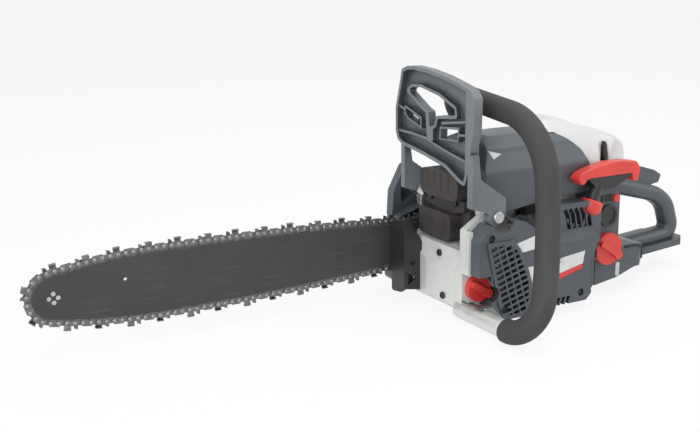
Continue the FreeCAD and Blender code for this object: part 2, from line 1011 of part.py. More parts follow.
def tension_screw():
    """Chain tensioner beside the studs, with its peg in the bar's plane."""
    z = crank_height - tension_screw_drop
    y = clutch_inner + tension_screw_radius * 2
    screw = rod_x(y, z, -clutch_front + clutch_corner, -bar_slot_rear, tension_screw_radius)
    peg_low = bar_side + bar_thickness / 2
    block_x = -(stud_front + stud_rear) / 2
    carrier = block(block_x - tension_screw_radius * 2, block_x + tension_screw_radius * 2, peg_low,
                    y + tension_screw_radius, z - tension_screw_radius * 1.6, z + tension_screw_radius * 1.6)
    return screw.fuse(carrier)


# Tank caps

def tank_cap(x, z, radius, face):
    """Round cap with a grip rib across it that ends in a thumb tab."""
    disc = rod_y(x, z, face - cap_depth, face, radius)
    stem = rod_y(x, z, face, face + cap_stem_length, radius * cap_stem_radius_share)
    rib = side_plate(rectangle(x - radius * 0.95, x + radius * 0.7, z - cap_rib_width / 2, z + cap_rib_width / 2),
                     face - cap_depth - cap_rib_height, face - cap_depth, cap_rib_width * 0.4)
    tab = rod_y(x + radius * 0.72, z, face - cap_depth - cap_rib_height, face - cap_depth, cap_rib_width * 0.75)
    grip = rib.fuse(tab)
    grip.rotate(V(x, 0, z), V(0, 1, 0), 33)
    return fused([disc, stem, grip])


def oil_cap():
    return tank_cap(-oil_cap_x, oil_cap_z, oil_cap_radius, -tank_left - running_clearance)


def fuel_cap():
    return tank_cap(fuel_cap_x, fuel_cap_z, fuel_cap_radius, -tank_unit_left - running_clearance)


# Engine

def crankshaft():
    """Journals, two webs and the crank pin at top dead centre."""
    left = rod_y(0, crank_height, -crank_left_end, -web_inner, journal_radius)
    right = rod_y(0, crank_height, web_inner, crank_right_end, journal_radius)
    webs = []
    for low, high in ((-web_outer, -web_inner), (web_inner, web_outer)):
        webs.append(rod_y(0, crank_height, low, high, web_radius))
    pin = rod_y(0, crank_height + crank_throw, -web_inner, web_inner, crank_pin_radius)
    return fused([left, right] + webs + [pin])


def piston():
    body = rod_z(0, 0, piston_top_z - piston_height, piston_top_z, piston_radius)
    hollow = rod_z(0, 0, piston_top_z - piston_height - cut_over, piston_top_z - piston_height / 6,
                   piston_radius * 0.8)
    pin_z = piston_top_z - wrist_pin_drop
    bore = rod_y(0, pin_z, -piston_radius - cut_over, piston_radius + cut_over, wrist_pin_radius)
    return body.cut(hollow).cut(bore)


def wrist_pin():
    return rod_y(0, piston_top_z - wrist_pin_drop, -piston_radius * 0.95, piston_radius * 0.95, wrist_pin_radius)


def connecting_rod():
    """Rod from the wrist pin down to an open eye that ends just above the crank pin's path."""
    top_z = piston_top_z - wrist_pin_drop
    sweep_top = crank_height + web_radius
    low_z = sweep_top + rod_gap + rod_eye_radius
    half = rod_width / 2
    small = rod_y(0, top_z, -half, half, rod_eye_radius)
    big = rod_y(0, low_z, -half, half, rod_eye_radius)
    shank = block(-rod_eye_radius / 2, rod_eye_radius / 2, -half, half, low_z, top_z)
    rod = fused([small, big, shank])
    rod = rod.cut(rod_y(0, top_z, -half - cut_over, half + cut_over, wrist_pin_radius))
    return rod.cut(rod_y(0, low_z, -half - cut_over, half + cut_over, crank_pin_radius))


def cylinder():
    """Finned barrel with an exhaust face in front, an inlet stub behind and the plug hole on top."""
    barrel = rod_z(0, 0, deck_height, cylinder_top, barrel_radius)
    fins = []
    outline = rectangle(-fin_half_length, fin_half_length, -fin_half_width, fin_half_width)
    first = cylinder_top - fin_thickness - (fin_count - 1) * fin_pitch
    for k in range(fin_count):
        z = first + k * fin_pitch
        fins.append(top_plate(outline, z, z + fin_thickness, fin_corner))
    port_z = (muffler_waist + muffler_bottom) / 2
    exhaust = rod_x(0, port_z + muffler_band, -muffler_rear + shield_thickness, 0, intake_radius)
    inlet = rod_x(0, (carb_bottom + carb_top) / 2, 0, intake_front, intake_radius * 0.8)
    body = fused([barrel] + fins + [exhaust, inlet])
    bore = rod_z(0, 0, deck_height - cut_over, piston_top_z + rod_gap, piston_radius + bore_clearance)
    plug_hole = rod_z(0, 0, piston_top_z, cylinder_top + cut_over, plug_bore_radius)
    return body.cut(bore).cut(plug_hole)


def spark_plug():
    thread = rod_z(0, 0, cylinder_top - spark_plug_hex, cylinder_top, plug_bore_radius)
    points = [(spark_plug_hex * math.cos(math.pi * k / 3), spark_plug_hex * math.sin(math.pi * k / 3))
              for k in range(6)]
    hexagon = top_plate(points, cylinder_top, cylinder_top + spark_plug_hex_height)
    tip = rod_z(0, 0, cylinder_top + spark_plug_hex_height, cylinder_top + spark_plug_top, plug_bore_radius * 0.6)
    return fused([thread, hexagon, tip])


def spark_plug_boot():
    low = cylinder_top + spark_plug_hex_height
    boot = rod_z(0, 0, low, low + boot_height, boot_radius)
    lead = rod_x(0, low + boot_height / 2, 0, boot_radius * 2.4, boot_radius * 0.4)
    return boot.fuse(lead).cut(rod_z(0, 0, low - cut_over, cylinder_top + spark_plug_top, plug_bore_radius * 0.6))


def flywheel():
    """Disc with a magnet rim and fan blades on its outer side."""
    outer_disc = -flywheel_inner_face - flywheel_disc
    disc = rod_y(0, crank_height, outer_disc, -flywheel_inner_face, flywheel_radius)
    hub = rod_y(0, crank_height, -flywheel_outer_face, outer_disc, flywheel_hub_radius)
    blades = []
    for k in range(blade_count):
        blade = block(blade_root, flywheel_radius, -flywheel_outer_face, outer_disc,
                      crank_height - blade_thickness / 2, crank_height + blade_thickness / 2)
        blade.rotate(V(0, 0, crank_height), V(0, 1, 0), 360 * k / blade_count)
        blades.append(blade)
    wheel = fused([disc, hub] + blades)
    return wheel.cut(rod_y(0, crank_height, -crank_left_end, 0, journal_radius))


def ignition_coil():
    """Coil over the flywheel's rim, on a bracket that stands on the crankcase's wall."""
    low = max(crank_height + flywheel_radius + coil_gap, deck_height + coil_foot)
    inner = -fin_half_width - coil_gap
    body = block(-coil_half_length, coil_half_length, inner - coil_depth, inner, low, low + coil_height)
    arm = block(-coil_half_length, coil_half_length, inner, -barrel_radius - coil_gap, low, low + coil_foot)
    foot = block(-coil_half_length, coil_half_length, -flywheel_inner_face + coil_gap, -barrel_radius - coil_gap,
                 deck_height, low)
    return fused([body, arm, foot])


def recoil_pulley():
    """Grooved rope pulley with a recess for the spring."""
    body = ring_y(0, crank_height, -pulley_outer_face, -pulley_inner_face, pulley_radius,
                  pulley_post_radius + shaft_clearance)
    middle = -(pulley_outer_face + pulley_inner_face) / 2
    groove = ring_y(0, crank_height, middle - pulley_groove, middle + pulley_groove, pulley_radius + cut_over,
                    pulley_radius - pulley_groove)
    recess = ring_y(0, crank_height, -pulley_outer_face - cut_over, -pulley_outer_face + spring_width,
                    spring_outer + running_clearance, spring_inner - running_clearance)
    return body.cut(groove).cut(recess)


def recoil_spring():
    return ring_y(0, crank_height, -upper_face + cover_wall, -pulley_outer_face + spring_width - running_clearance,
                  spring_outer, spring_inner)


# Starter cover

def cover_profile():
    """Outline of the bulged lower part, with the arch over the air intake and a waist behind."""
    points = [
        (-cover_front, cover_band + cover_corner * 2.2),
        (-cover_front, handle_foot_z() + tube_radius + cover_wall),
        (-handle_foot_x + tube_radius, handle_foot_z() + tube_radius + cover_wall),
        (-handle_foot_x + tube_radius * 2.4, cover_base),
        (-grille_front_bottom, cover_base - cover_lower_corner),
        (-grille_rear_bottom, cover_base),
        (cover_waist - cover_corner / 2, cover_base),
        (cover_waist + cover_corner / 2, cover_base + cover_corner),
        (cover_waist, cover_base + cover_corner * 3),
        (cover_waist, crank_height - cover_corner * 1.5),
        (cover_rear, cover_band - cover_corner),
        (cover_rear, cover_band + arch_rise),
        (upper_front, cover_band),
    ]
    for degrees in (48, 66, 84, 105):
        angle = math.radians(degrees)
        points.append((-arch_x + arch_radius * math.cos(angle), arch_z + arch_radius * math.sin(angle)))
    return points


def grille_outline(inset):
    """Curved band of the air intake: nearly straight in front, bowed behind."""
    middle = (grille_top + grille_bottom) / 2
    return [
        (-grille_front_top + inset, grille_top - inset),
        (-grille_front_bottom - grille_rise + inset, grille_bottom + grille_rise * 2),
        (-grille_front_bottom + inset, grille_bottom + inset),
        (-grille_rear_mid + inset * 0.5, grille_bottom + inset),
        (-grille_rear_bottom - inset, grille_bottom + grille_rise * 2),
        (-grille_rear_bottom - inset, middle - grille_rise),
        (-grille_rear_mid - inset, middle + grille_rise * 1.5),
        (-(grille_rear_mid + grille_rear_top) / 2 - inset, grille_top - grille_rise * 1.3),
        (-grille_rear_top - inset, grille_top - inset),
    ]


def grille_slots(y_low, y_high):
    """Long slots between the rising slats, each cut in four by upright ribs."""
    pitch = (grille_top - grille_bottom) / grille_slats
    window = side_plate(grille_outline(grille_rib), y_low, y_high)
    left = -grille_front_top
    right = -grille_rear_bottom
    slots = []
    for k in range(grille_slats + 2):
        z = grille_bottom - grille_rise * 1.5 + k * pitch
        slots.append(side_plate([
            (left, z - grille_rise / 2),
            (right, z + grille_rise * 1.5),
            (right, z + grille_rise * 1.5 + pitch * (1 - grille_slat_share)),
            (left, z - grille_rise / 2 + pitch * (1 - grille_slat_share)),
        ], y_low, y_high))
    open_slots = Part.makeCompound(slots).common(window)
    return open_slots.cut(grille_uprights(y_low, y_high))


def grille_uprights(y_low, y_high):
    """Ribs across the slats, parallel to the intake's front edge."""
    lean = grille_front_top - grille_front_bottom
    gap = (grille_rear_top - grille_rear_bottom) / 3 * 1.1
    ribs = []
    for k in range(1, 4):
        x = -grille_front_top + k * gap
        ribs.append(side_plate([
            (x, grille_top),
            (x + lean, grille_bottom),
            (x + lean + grille_upright, grille_bottom),
            (x + grille_upright, grille_top),
        ], y_low, y_high))
    return Part.makeCompound(ribs)


def starter_cover():
    face = -cover_face
    wall = cover_wall
    lower = side_shell(cover_profile(), -tank_left, face, cover_corner * 0.5, wall)
    upper_points = rectangle(upper_front, upper_rear, cover_band - cover_corner, upper_top)
    upper = side_shell(upper_points, -tank_left, -upper_face, cover_corner * 0.4, wall)
    dome_radius = pulley_radius + pulley_room
    dome = rod_y(0, crank_height, -upper_face, -tank_left, dome_radius + wall)
    dome_room = rod_y(0, crank_height, -upper_face + wall, -tank_left + cut_over, dome_radius)
    slope = front_plate([
        (face + wall, cover_band),
        (face, cover_band),
        (face, cover_band + arch_rise / 2),
        (-upper_face, cover_band + cover_slope),
        (-upper_face + wall, cover_band + cover_slope),
        (-upper_face + wall, cover_band),
    ], upper_front, cover_rear)
    skirt = side_plate(rectangle(upper_front, cover_skirt_rear, cover_base, cover_band + cover_corner),
                       -tank_left - cover_skirt, -tank_left, cover_corner)
    post = rod_y(0, crank_height, face, -pulley_inner_face, pulley_post_radius)
    frame = side_plate(grille_outline(-grille_rib), face - grille_relief, face + wall)
    shell = fused([lower, upper, slope, frame, dome, skirt])
    inner_room = block(upper_front + wall, upper_rear - wall, -upper_face + wall, -tank_left - cover_skirt,
                       cover_band - cover_corner * 2, cover_band + cover_corner)
    lower_room = side_face(cover_profile(), -tank_left + cut_over, cover_corner * 0.5).makeOffset2D(-wall)
    lower_room = lower_room.extrude(V(0, -cover_face + wall + tank_left - cut_over, 0))
    spur_room = block(-cover_front - cut_over, -case_front + spur_width, -tank_left - lug_thickness,
                      -tank_left + cut_over, tank_ledge, guard_pivot_z)
    shell = shell.cut(inner_room).cut(lower_room).cut(dome_room)
    shell = shell.cut(grille_slots(face - grille_relief - cut_over, face + wall + cut_over))
    shell = shell.cut(side_fin_gaps())
    shell = shell.cut(base_slots())
    shell = shell.fuse(cap_collar())
    for tool in cap_clearance() + [spur_room, rope_bowl()]:
        shell = shell.cut(tool)
    pocket = rod_y(-guard_pivot_x, guard_pivot_z, face - cut_over, 0, pivot_pocket_radius)
    shell = shell.cut(pocket).cut(rope_tunnel()).cut(rope_guide_form()).cut(label_pocket())
    for x, z in starter_screw_places():
        shell = shell.fuse(rod_y(x, z, face + wall, -tank_left, screw_head_radius * 1.5))
        shell = shell.cut(rod_y(x, z, face - cut_over, face + wall + screw_head_height, screw_head_radius))
        shell = shell.cut(rod_y(x, z, face - cut_over, 0, screw_radius))
    return shell.fuse(post).cut(front_spur()).removeSplitter()


def side_fin_gaps():
    """Openings between the leaning fins above the band."""
    pitch = (fin_zone_rear - fin_zone_front) / side_fin_count
    gaps = []
    for k in range(side_fin_count):
        x = fin_zone_front + k * pitch
        gap = pitch - side_fin_thickness
        gaps.append(side_plate([
            (x + side_fin_lean, fin_zone_bottom),
            (x + side_fin_lean + gap, fin_zone_bottom),
            (x + gap + side_fin_lean * 0.5, fin_zone_top - side_fin_lean),
            (x + gap - side_fin_lean * 0.2, fin_zone_top),
            (x, fin_zone_top - side_fin_thickness),
            (x + side_fin_lean * 0.5, fin_zone_top - side_fin_lean * 1.3),
        ], -upper_face - cut_over, -upper_face + cover_wall + cut_over))
    return Part.makeCompound(gaps)


def base_slots():
    """Cooling slots along the lower rear edge."""
    slots = []
    for k in range(base_slot_count):
        x = base_slot_front + k * base_slot_pitch
        slots.append(side_plate([
            (x, cover_base - cut_over),
            (x + base_slot_width, cover_base - cut_over),
            (x + base_slot_width * 2, cover_base + base_slot_height),
            (x + base_slot_width, cover_base + base_slot_height),
        ], -cover_face - cut_over, -cover_face + cover_wall + cut_over))
    return Part.makeCompound(slots)


def cap_bite(spread):
    """Room round the oil cap, narrower towards the cover's face."""
    x = -oil_cap_x - cap_cut_shift
    turn = -tank_left - cap_cut_depth
    wide = rod_y(x, oil_cap_z, turn, -tank_left, cap_cut_radius + spread)
    funnel = Part.makeCone(cap_cut_radius + spread, cap_cut_mouth + spread, cover_face - tank_left - cap_cut_depth,
                           V(x, turn, oil_cap_z), V(0, -1, 0))
    return wide.fuse(funnel)


def cap_collar():
    """Wall of the bite round the oil cap, inside the cover's outline."""
    return cap_bite(cover_wall).common(side_plate(cover_profile(), -cover_face, -tank_left))


def cap_clearance():
    """Bite that leaves the oil cap free, open towards the front."""
    through = rod_y(-oil_cap_x - cap_cut_shift, oil_cap_z, -cover_face - cut_over, -tank_left, cap_cut_mouth)
    inner = rod_y(-oil_cap_x - cap_cut_shift, oil_cap_z, -tank_left, cut_over, cap_cut_radius)
    front = block(-cover_front - cut_over, -oil_cap_x - cap_cut_shift, -cover_face - cut_over, cut_over,
                  oil_cap_z - cap_cut_radius * 0.6, oil_cap_z + cap_cut_radius)
    return [cap_bite(0), through, inner, front]


def label_pocket():
    """Shallow bed of the plain label behind the handle."""
    return side_plate(label_outline(0), -cover_face - cut_over, -cover_face + decal_recess)


def label_outline(inset):
    return [
        (label_front + inset, label_bottom + inset),
        (label_rear + inset, label_bottom + label_slant * 2 + inset),
        (label_rear + label_slant + inset, label_top + inset),
        (label_front + inset, label_top - label_slant + inset),
    ]


def starter_screw_places():
    return [
        (-grille_front_top + cover_corner * 0.6, grille_top + grille_rise * 0.8),
        (-grille_front_bottom - cover_wall, cover_base + grille_rise * 1.1),
        (cover_waist - cover_corner * 1.5, cover_base + cover_corner * 1.3),
    ]


def cover_screws():
    """Screws of the starter cover, seated on their towers."""
    screws = []
    for x, z in starter_screw_places():
        seat = -cover_face + cover_wall + screw_head_height
        head = rod_y(x, z, seat - screw_head_height, seat, screw_head_radius * 0.95)
        screws.append(head.fuse(rod_y(x, z, seat, -tank_left, screw_radius)))
    return Part.makeCompound(screws)


# Starter rope along its pull direction, which leans back from the vertical

def pull_direction():
    lean = math.radians(rope_lean)
    return V(math.sin(lean), 0, math.cos(lean))


def rope_spot(distance):
    """Point on the rope's line, measured upward from the guide's foot; the line touches the pulley's groove."""
    lean = math.radians(rope_lean)
    drum = pulley_radius - pulley_groove + rope_radius
    foot_x = (drum + (rope_guide_z - crank_height) * math.sin(lean)) / math.cos(lean)
    return V(foot_x, -rope_side, rope_guide_z).add(pull_direction().multiply(distance))


def along_rope(low, high, radius):
    return Part.makeCylinder(radius, high - low, rope_spot(low), pull_direction())


def rope_tunnel():
    return along_rope(-rope_inside - cut_over, rope_guide_length + cut_over, rope_radius * 2)


def rope_bowl():
    """Hollow in the cover's top round the guide's rim."""
    return along_rope(rope_guide_length * 0.75, rope_guide_length * 2, rope_guide_radius)


def rope_guide_form():
    return Part.makeCone(rope_guide_foot_radius, rope_guide_radius, rope_guide_length, rope_spot(0),
                         pull_direction())


def rope_guide():
    """Flanged bush that the rope leaves through."""
    return rope_guide_form().cut(along_rope(-cut_over, rope_guide_length + cut_over, rope_radius + running_clearance))


def neck_top():
    """Distance along the rope from the guide's foot to the grip's core."""
    return (grip_low + grip_leg_width * 0.4 - rope_guide_z) / pull_direction().z


def starter_rope():
    return along_rope(-rope_inside, neck_top(), rope_radius)


grip_shares = [
    (0.00, 0.42), (0.07, 0.66), (0.26, 0.86), (0.48, 1.00), (0.76, 1.00), (0.94, 0.90), (1.00, 0.58),
    (0.965, 0.00), (0.89, 0.00), (0.88, 0.38), (0.165, 0.38), (0.08, 0.08),
]
core_shares = [
    (0.165, 0.38), (0.27, 0.08), (0.29, -0.08), (0.50, -0.20), (0.60, -0.16), (0.86, 0.27), (0.86, 0.38),
]


def starter_grip():
    """Bowed red cross bar with a hook-shaped rear leg."""
    low = -rope_side - grip_half_width
    points = on_shares(grip_shares, grip_front, grip_rear, grip_low, grip_high)
    return side_plate(points, low, low + grip_half_width * 2, grip_leg_width * 0.5)


def grip_core():
    """Dark inner half of the grip with the neck that takes the rope."""
    low = -rope_side - grip_half_width * 0.8
    points = on_shares(core_shares, grip_front, grip_rear, grip_low, grip_high)
    body = side_plate(points, low, low + grip_half_width * 1.6)
    neck = along_rope(rope_guide_length + running_clearance, neck_top(), grip_neck_radius)
    return body.fuse(neck).cut(along_rope(-cut_over, neck_top(), rope_radius)).cut(starter_grip())


# Muffler

def muffler_body():
    """Pressed box with a fluted front, waisted between its two lobes."""
    rear = front_plate(rectangle(-muffler_left, muffler_right, muffler_bottom, muffler_top),
                       -muffler_split, -muffler_rear, muffler_corner)
    upper = rectangle(-muffler_left, muffler_right, muffler_waist + muffler_band / 2, muffler_top)
    lower = rectangle(-muffler_left + muffler_corner * 1.6, muffler_right + cover_wall, muffler_bottom,
                      muffler_waist - muffler_band / 2)
    front_top = front_plate(upper, -muffler_front, -muffler_split, muffler_corner)
    front_low = front_plate(lower, -muffler_front, -muffler_split, muffler_corner / 2)
    body = fused([rear, front_top, front_low])
    pitch = (muffler_left + muffler_right - 2 * muffler_corner) / flute_count
    for k in range(flute_count):
        y = -muffler_left + muffler_corner + (k + 0.5) * pitch
        body = body.cut(rod_z(-muffler_front, y, muffler_waist + muffler_band, muffler_top + cut_over, flute_width / 2))
    for y in muffler_bolt_sides():
        body = body.cut(rod_x(y, muffler_bolt_z, -muffler_front - cut_over, 0, muffler_bolt_radius))
    return body


def muffler_band_plate():
    """Middle band with a lobe round each bolt."""
    points = [
        (-muffler_left, muffler_waist - muffler_band * 0.2),
        (-muffler_left * 0.5, muffler_waist - muffler_band / 2),
        (muffler_right * 0.5, muffler_waist - muffler_band / 2),
        (muffler_right, muffler_waist - muffler_band * 0.2),
        (muffler_right, muffler_waist + muffler_band / 2),
        (-muffler_left, muffler_waist + muffler_band / 2),
    ]
    plate = front_plate(points, -muffler_split - muffler_band_depth, -muffler_split, muffler_corner / 3)
    for y in muffler_bolt_sides():
        plate = plate.cut(rod_x(y, muffler_bolt_z, -muffler_front - cut_over, 0, muffler_bolt_radius))
    return plate


def muffler_bolt_sides():
    return (-muffler_bolt_left, muffler_bolt_right)


def muffler_bolts():
    """Two long bolts that hold the muffler to the cylinder."""
    bolts = []
    for y in muffler_bolt_sides():
        seat = -muffler_split - muffler_band_depth
        head = rod_x(y, muffler_bolt_z, seat - screw_head_height, seat + running_clearance, muffler_bolt_radius * 0.98)
        shank = rod_x(y, muffler_bolt_z, seat, -fin_half_length, screw_radius)
        bolts.append(head.fuse(shank))
    return Part.makeCompound(bolts)


def heat_shield():
    """Bright sheet behind the muffler, folded forward beside it."""
    rear = -muffler_rear
    sheet = block(rear, rear + shield_thickness, -muffler_left, shield_side, shield_bottom, shield_top)
    flange = block(-shield_flange_front, rear, shield_side - shield_thickness, shield_side,
                   shield_bottom + muffler_corner, shield_tab_top)
    tab = front_plate([
        (shield_side - shield_thickness * 6, shield_tab_bottom),
        (shield_side, shield_tab_bottom),
        (shield_side + shield_thickness * 5, shield_tab_bottom + shield_thickness),
        (shield_side, shield_tab_top),
        (shield_side - shield_thickness * 4, shield_tab_top),
    ], -shield_flange_front - shield_thickness, -shield_flange_front)
    sheet = fused([sheet, flange, tab])
    port = rod_x(0, (muffler_waist + muffler_bottom) / 2 + muffler_band, rear - cut_over,
                 rear + shield_thickness + cut_over, intake_radius)
    for y in muffler_bolt_sides():
        sheet = sheet.cut(rod_x(y, muffler_bolt_z, rear - cut_over, 0, screw_radius))
    return sheet.cut(port)


# Covers over the engine

top_side_shares = [
    (0.00, 0.10), (0.00, 0.62), (0.07, 0.93), (0.18, 1.00), (0.62, 1.00), (0.78, 0.94),
    (0.90, 0.74), (0.98, 0.47), (1.00, 0.15), (0.55, 0.11), (0.10, 0.00),
]


def top_cover_form(inset):
    side = on_shares(top_side_shares, -top_front + inset, top_rear - inset, top_seam_front, top_height - inset)
    left = -top_left + inset
    right = top_right - inset
    high = top_height - inset
    section = [
        (left, 0),
        (left, high - top_shoulder),
        (left + top_shoulder * 0.28, high - top_shoulder * 0.3),
        (left + top_shoulder, high),
        (right - top_shoulder * 0.6, high),
        (right, high - top_shoulder * 0.6),
        (right, 0),
    ]
    body = side_plate(side, left, right, top_shoulder * 0.25)
    return body.common(front_plate(section, -top_front - cut_over, top_rear + cut_over, top_shoulder * 0.5))


def top_cover():
    """Cylinder shroud, open below and at the front behind the muffler."""
    hollow = top_cover_form(cover_wall)
    hollow.translate(V(0, 0, -cover_wall))
    deep = block(-top_front + cover_wall, top_rear - cover_wall, -top_left + cover_wall, top_right - cover_wall, 0,
                 top_seam_rear)
    shell = top_cover_form(0).cut(hollow).cut(deep)
    mouth = block(-top_front - cut_over, -muffler_rear + shield_thickness * 2, -muffler_left - cover_wall,
                  shield_side + cover_wall, 0, shield_top + cover_wall)
    lug_room = rod_y(-guard_pivot_x, guard_pivot_z, -top_left - cut_over, 0, lug_radius + cover_wall)
    inlet_room = block(carb_front - cover_wall * 2, top_rear + cut_over, -carb_half_width - cover_wall,
                       carb_half_width + cover_wall, 0, carb_top + cover_wall)
    return shell.cut(mouth).cut(lug_room).cut(inlet_room)


filter_side_shares = [
    (0.00, 0.80), (0.05, 0.96), (0.17, 1.00), (0.29, 0.94), (0.36, 0.85), (0.50, 0.82),
    (0.68, 0.70), (0.86, 0.54), (0.97, 0.38), (1.00, 0.20), (1.00, 0.00), (0.37, 0.00),
    (0.36, 0.33), (0.28, 0.53), (0.18, 0.70), (0.08, 0.77),
]


def filter_cover_form(inset):
    """Hood form: side profile, cross-section and a plan that curves in towards the rear."""
    side = on_shares(filter_side_shares, filter_front + inset, filter_rear - inset, filter_base, filter_top - inset)
    left = -filter_left + inset
    right = filter_right - inset
    high = filter_top - inset
    section = [
        (left, 0),
        (left, filter_base + filter_shoulder),
        (left + filter_shoulder * 0.35, high - filter_shoulder * 0.75),
        (left + filter_shoulder * 1.15, high),
        (right - filter_shoulder * 0.9, high),
        (right, high - filter_shoulder),
        (right, 0),
    ]
    plan = [
        (filter_front - cut_over, left),
        (filter_bend, left),
        (filter_cheek, left * 0.66),
        (filter_rear - inset, left * 0.2),
        (filter_rear - inset, right * 0.4),
        (filter_cheek, right * 0.86),
        (filter_bend, right),
        (filter_front - cut_over, right),
    ]
    body = side_plate(side, left, right, filter_shoulder * 0.2)
    body = body.common(front_plate(section, filter_front - cut_over, filter_rear + cut_over, filter_shoulder * 0.6))
    return body.common(top_plate(plan, 0, filter_top + cut_over, filter_shoulder * 0.5))


def air_filter_cover():
    """Bright hood over the filter, with a slot for its clip."""
    element_room = block(element_front - cover_wall, element_rear + cover_wall, -element_half_width - cover_wall,
                         element_half_width + cover_wall, 0, element_top + cover_wall)
    clip_room = side_plate(latch_outline(running_clearance), -filter_left - cut_over, -filter_left + latch_depth * 2)
    clip_room = clip_room.fuse(latch_pin(latch_room))
    carb_room = block(carb_front - cover_wall * 4, element_front, -carb_half_width - cover_wall,
                      carb_half_width + cover_wall, 0, carb_top + cover_wall)
    hood = filter_cover_form(0).cut(top_cover_form(-running_clearance))
    return hood.cut(element_room).cut(clip_room).cut(carb_room).cut(latch_pin(shaft_clearance))


latch_shares = [(0.5, 0.0), (1.0, 0.12), (1.0, 0.5), (0.72, 0.86), (0.4, 1.0), (0.1, 0.8), (0.0, 0.4)]


def latch_outline(spread):
    return on_shares(latch_shares, latch_x - latch_width / 2 - spread, latch_x + latch_width / 2 + spread,
                     latch_z - latch_length / 2 - spread, latch_z + latch_length / 2 + spread)


def latch_pin(clearance):
    """Pin at the clip's lower end, in the hood's wall."""
    z = latch_z - latch_length / 2 + latch_width * 0.6
    y = -filter_left + latch_depth * 1.1
    return rod_x(y, z, latch_x - latch_pin_reach - shaft_clearance, latch_x + latch_pin_reach + shaft_clearance,
                 latch_pin_radius + clearance)


def filter_latch():
    """Dark lens-shaped clip that holds the hood, on its pin."""
    clip = side_plate(latch_outline(0), -filter_left + latch_depth * 0.4, -filter_left + latch_depth * 1.8)
    return clip.fuse(latch_pin(0))


def air_filter():
    points = rectangle(element_front, element_rear, -element_half_width, element_half_width)
    return top_plate(points, element_bottom, element_top, cover_corner)


def carburettor():
    """Body with its throttle barrel between the inlet boot and the filter."""
    z = (carb_bottom + carb_top) / 2
    body = block(carb_front, carb_rear, -carb_half_width, carb_half_width, carb_bottom + cover_wall * 2, carb_top)
    bowl = rod_z((carb_front + carb_rear) / 2, 0, carb_bottom, carb_bottom + cover_wall * 2, carb_half_width * 0.6)
    spigot = rod_x(0, z, carb_rear, element_front, carb_bore_radius * 1.4)
    body = fused([body, bowl, spigot])
    return body.cut(rod_x(0, z, carb_front - cut_over, element_front + cut_over, carb_bore_radius))


def intake_boot():
    z = (carb_bottom + carb_top) / 2
    boot = rod_x(0, z, intake_front, carb_front, intake_radius)
    return boot.cut(rod_x(0, z, intake_front - cut_over, carb_front + cut_over, carb_bore_radius))


# Rear handle

def loop_path():
    points = [
        V(loop_start, 0, loop_top_front),
        V(loop_brow, 0, loop_top_front),
        V(loop_shoulder, 0, loop_top_rear),
        V(loop_rear - loop_corner * 1.5, 0, loop_top_rear - loop_thickness * 0.7),
        V(loop_rear, 0, loop_base + loop_corner * 0.6),
        V(lobe_rear, 0, loop_base),
        V(loop_start, 0, loop_base - loop_corner * 0.6),
    ]
    radii = [loop_thickness * 4, loop_thickness * 2.4, loop_thickness * 1.6, loop_thickness * 0.62, loop_thickness * 6]
    return path_wire(points, radii)


def loop_section():
    """Rounded rectangle across the handle, at the start of its path."""
    half_y = loop_width / 2
    half_n = loop_thickness / 2
    corners = []
    for y, z in rectangle(-half_y, half_y, loop_top_front - half_n, loop_top_front + half_n):
        corners.append(V(loop_start, y, z))
    return loop_wire(corners, loop_corner)


def tank_form():
    """Fuel tank with the column in front and a lobe that tapers in towards the rear."""
    points = [
        (tank_unit_front, tank_unit_base),
        (column_rear, tank_unit_base + cover_wall * 2),
        (lobe_bend - cover_corner, lobe_base),
        (lobe_rear, lobe_base + cover_wall),
        (lobe_rear, lobe_base + cover_corner),
        (lobe_rear - cover_corner * 2, lobe_top - cover_corner * 0.7),
        (lobe_bend - cover_corner, lobe_top),
        (column_rear, lobe_top),
        (column_rear, column_top - cover_corner),
        (column_rear - cover_corner, column_top),
        (tank_unit_front, column_top),
    ]
    plan = [
        (tank_unit_front, -tank_unit_left),
        (lobe_bend, -tank_unit_left),
        (lobe_rear, -tank_unit_left + lobe_taper),
        (lobe_rear, tank_unit_right - lobe_taper / 3),
        (lobe_bend, tank_unit_right),
        (tank_unit_front, tank_unit_right),
    ]
    body = side_plate(points, -tank_unit_left, tank_unit_right)
    return body.common(top_plate(plan, 0, column_top + cut_over))


def guard_plate():
    """Wide foot of the loop that shields the right hand from below."""
    plan = [
        (guard_plate_front, -guard_plate_left),
        (guard_plate_rear - cover_corner, -guard_plate_left),
        (guard_plate_rear, -guard_plate_left + cover_corner),
        (guard_plate_rear, guard_plate_right * 0.7),
        (guard_plate_rear - cover_corner * 2, guard_plate_right),
        (guard_plate_front, guard_plate_right),
    ]
    low = guard_plate_low
    prism = top_plate(plan, 0, loop_base + guard_plate_rise * 3)
    side = [
        (guard_plate_front, low),
        (guard_plate_rear, low + guard_plate_rise),
        (guard_plate_rear, low + guard_plate_rise + guard_plate_thickness),
        (guard_plate_front, low + guard_plate_thickness),
    ]
    return prism.common(side_plate(side, -guard_plate_left - cut_over, guard_plate_right + cut_over))


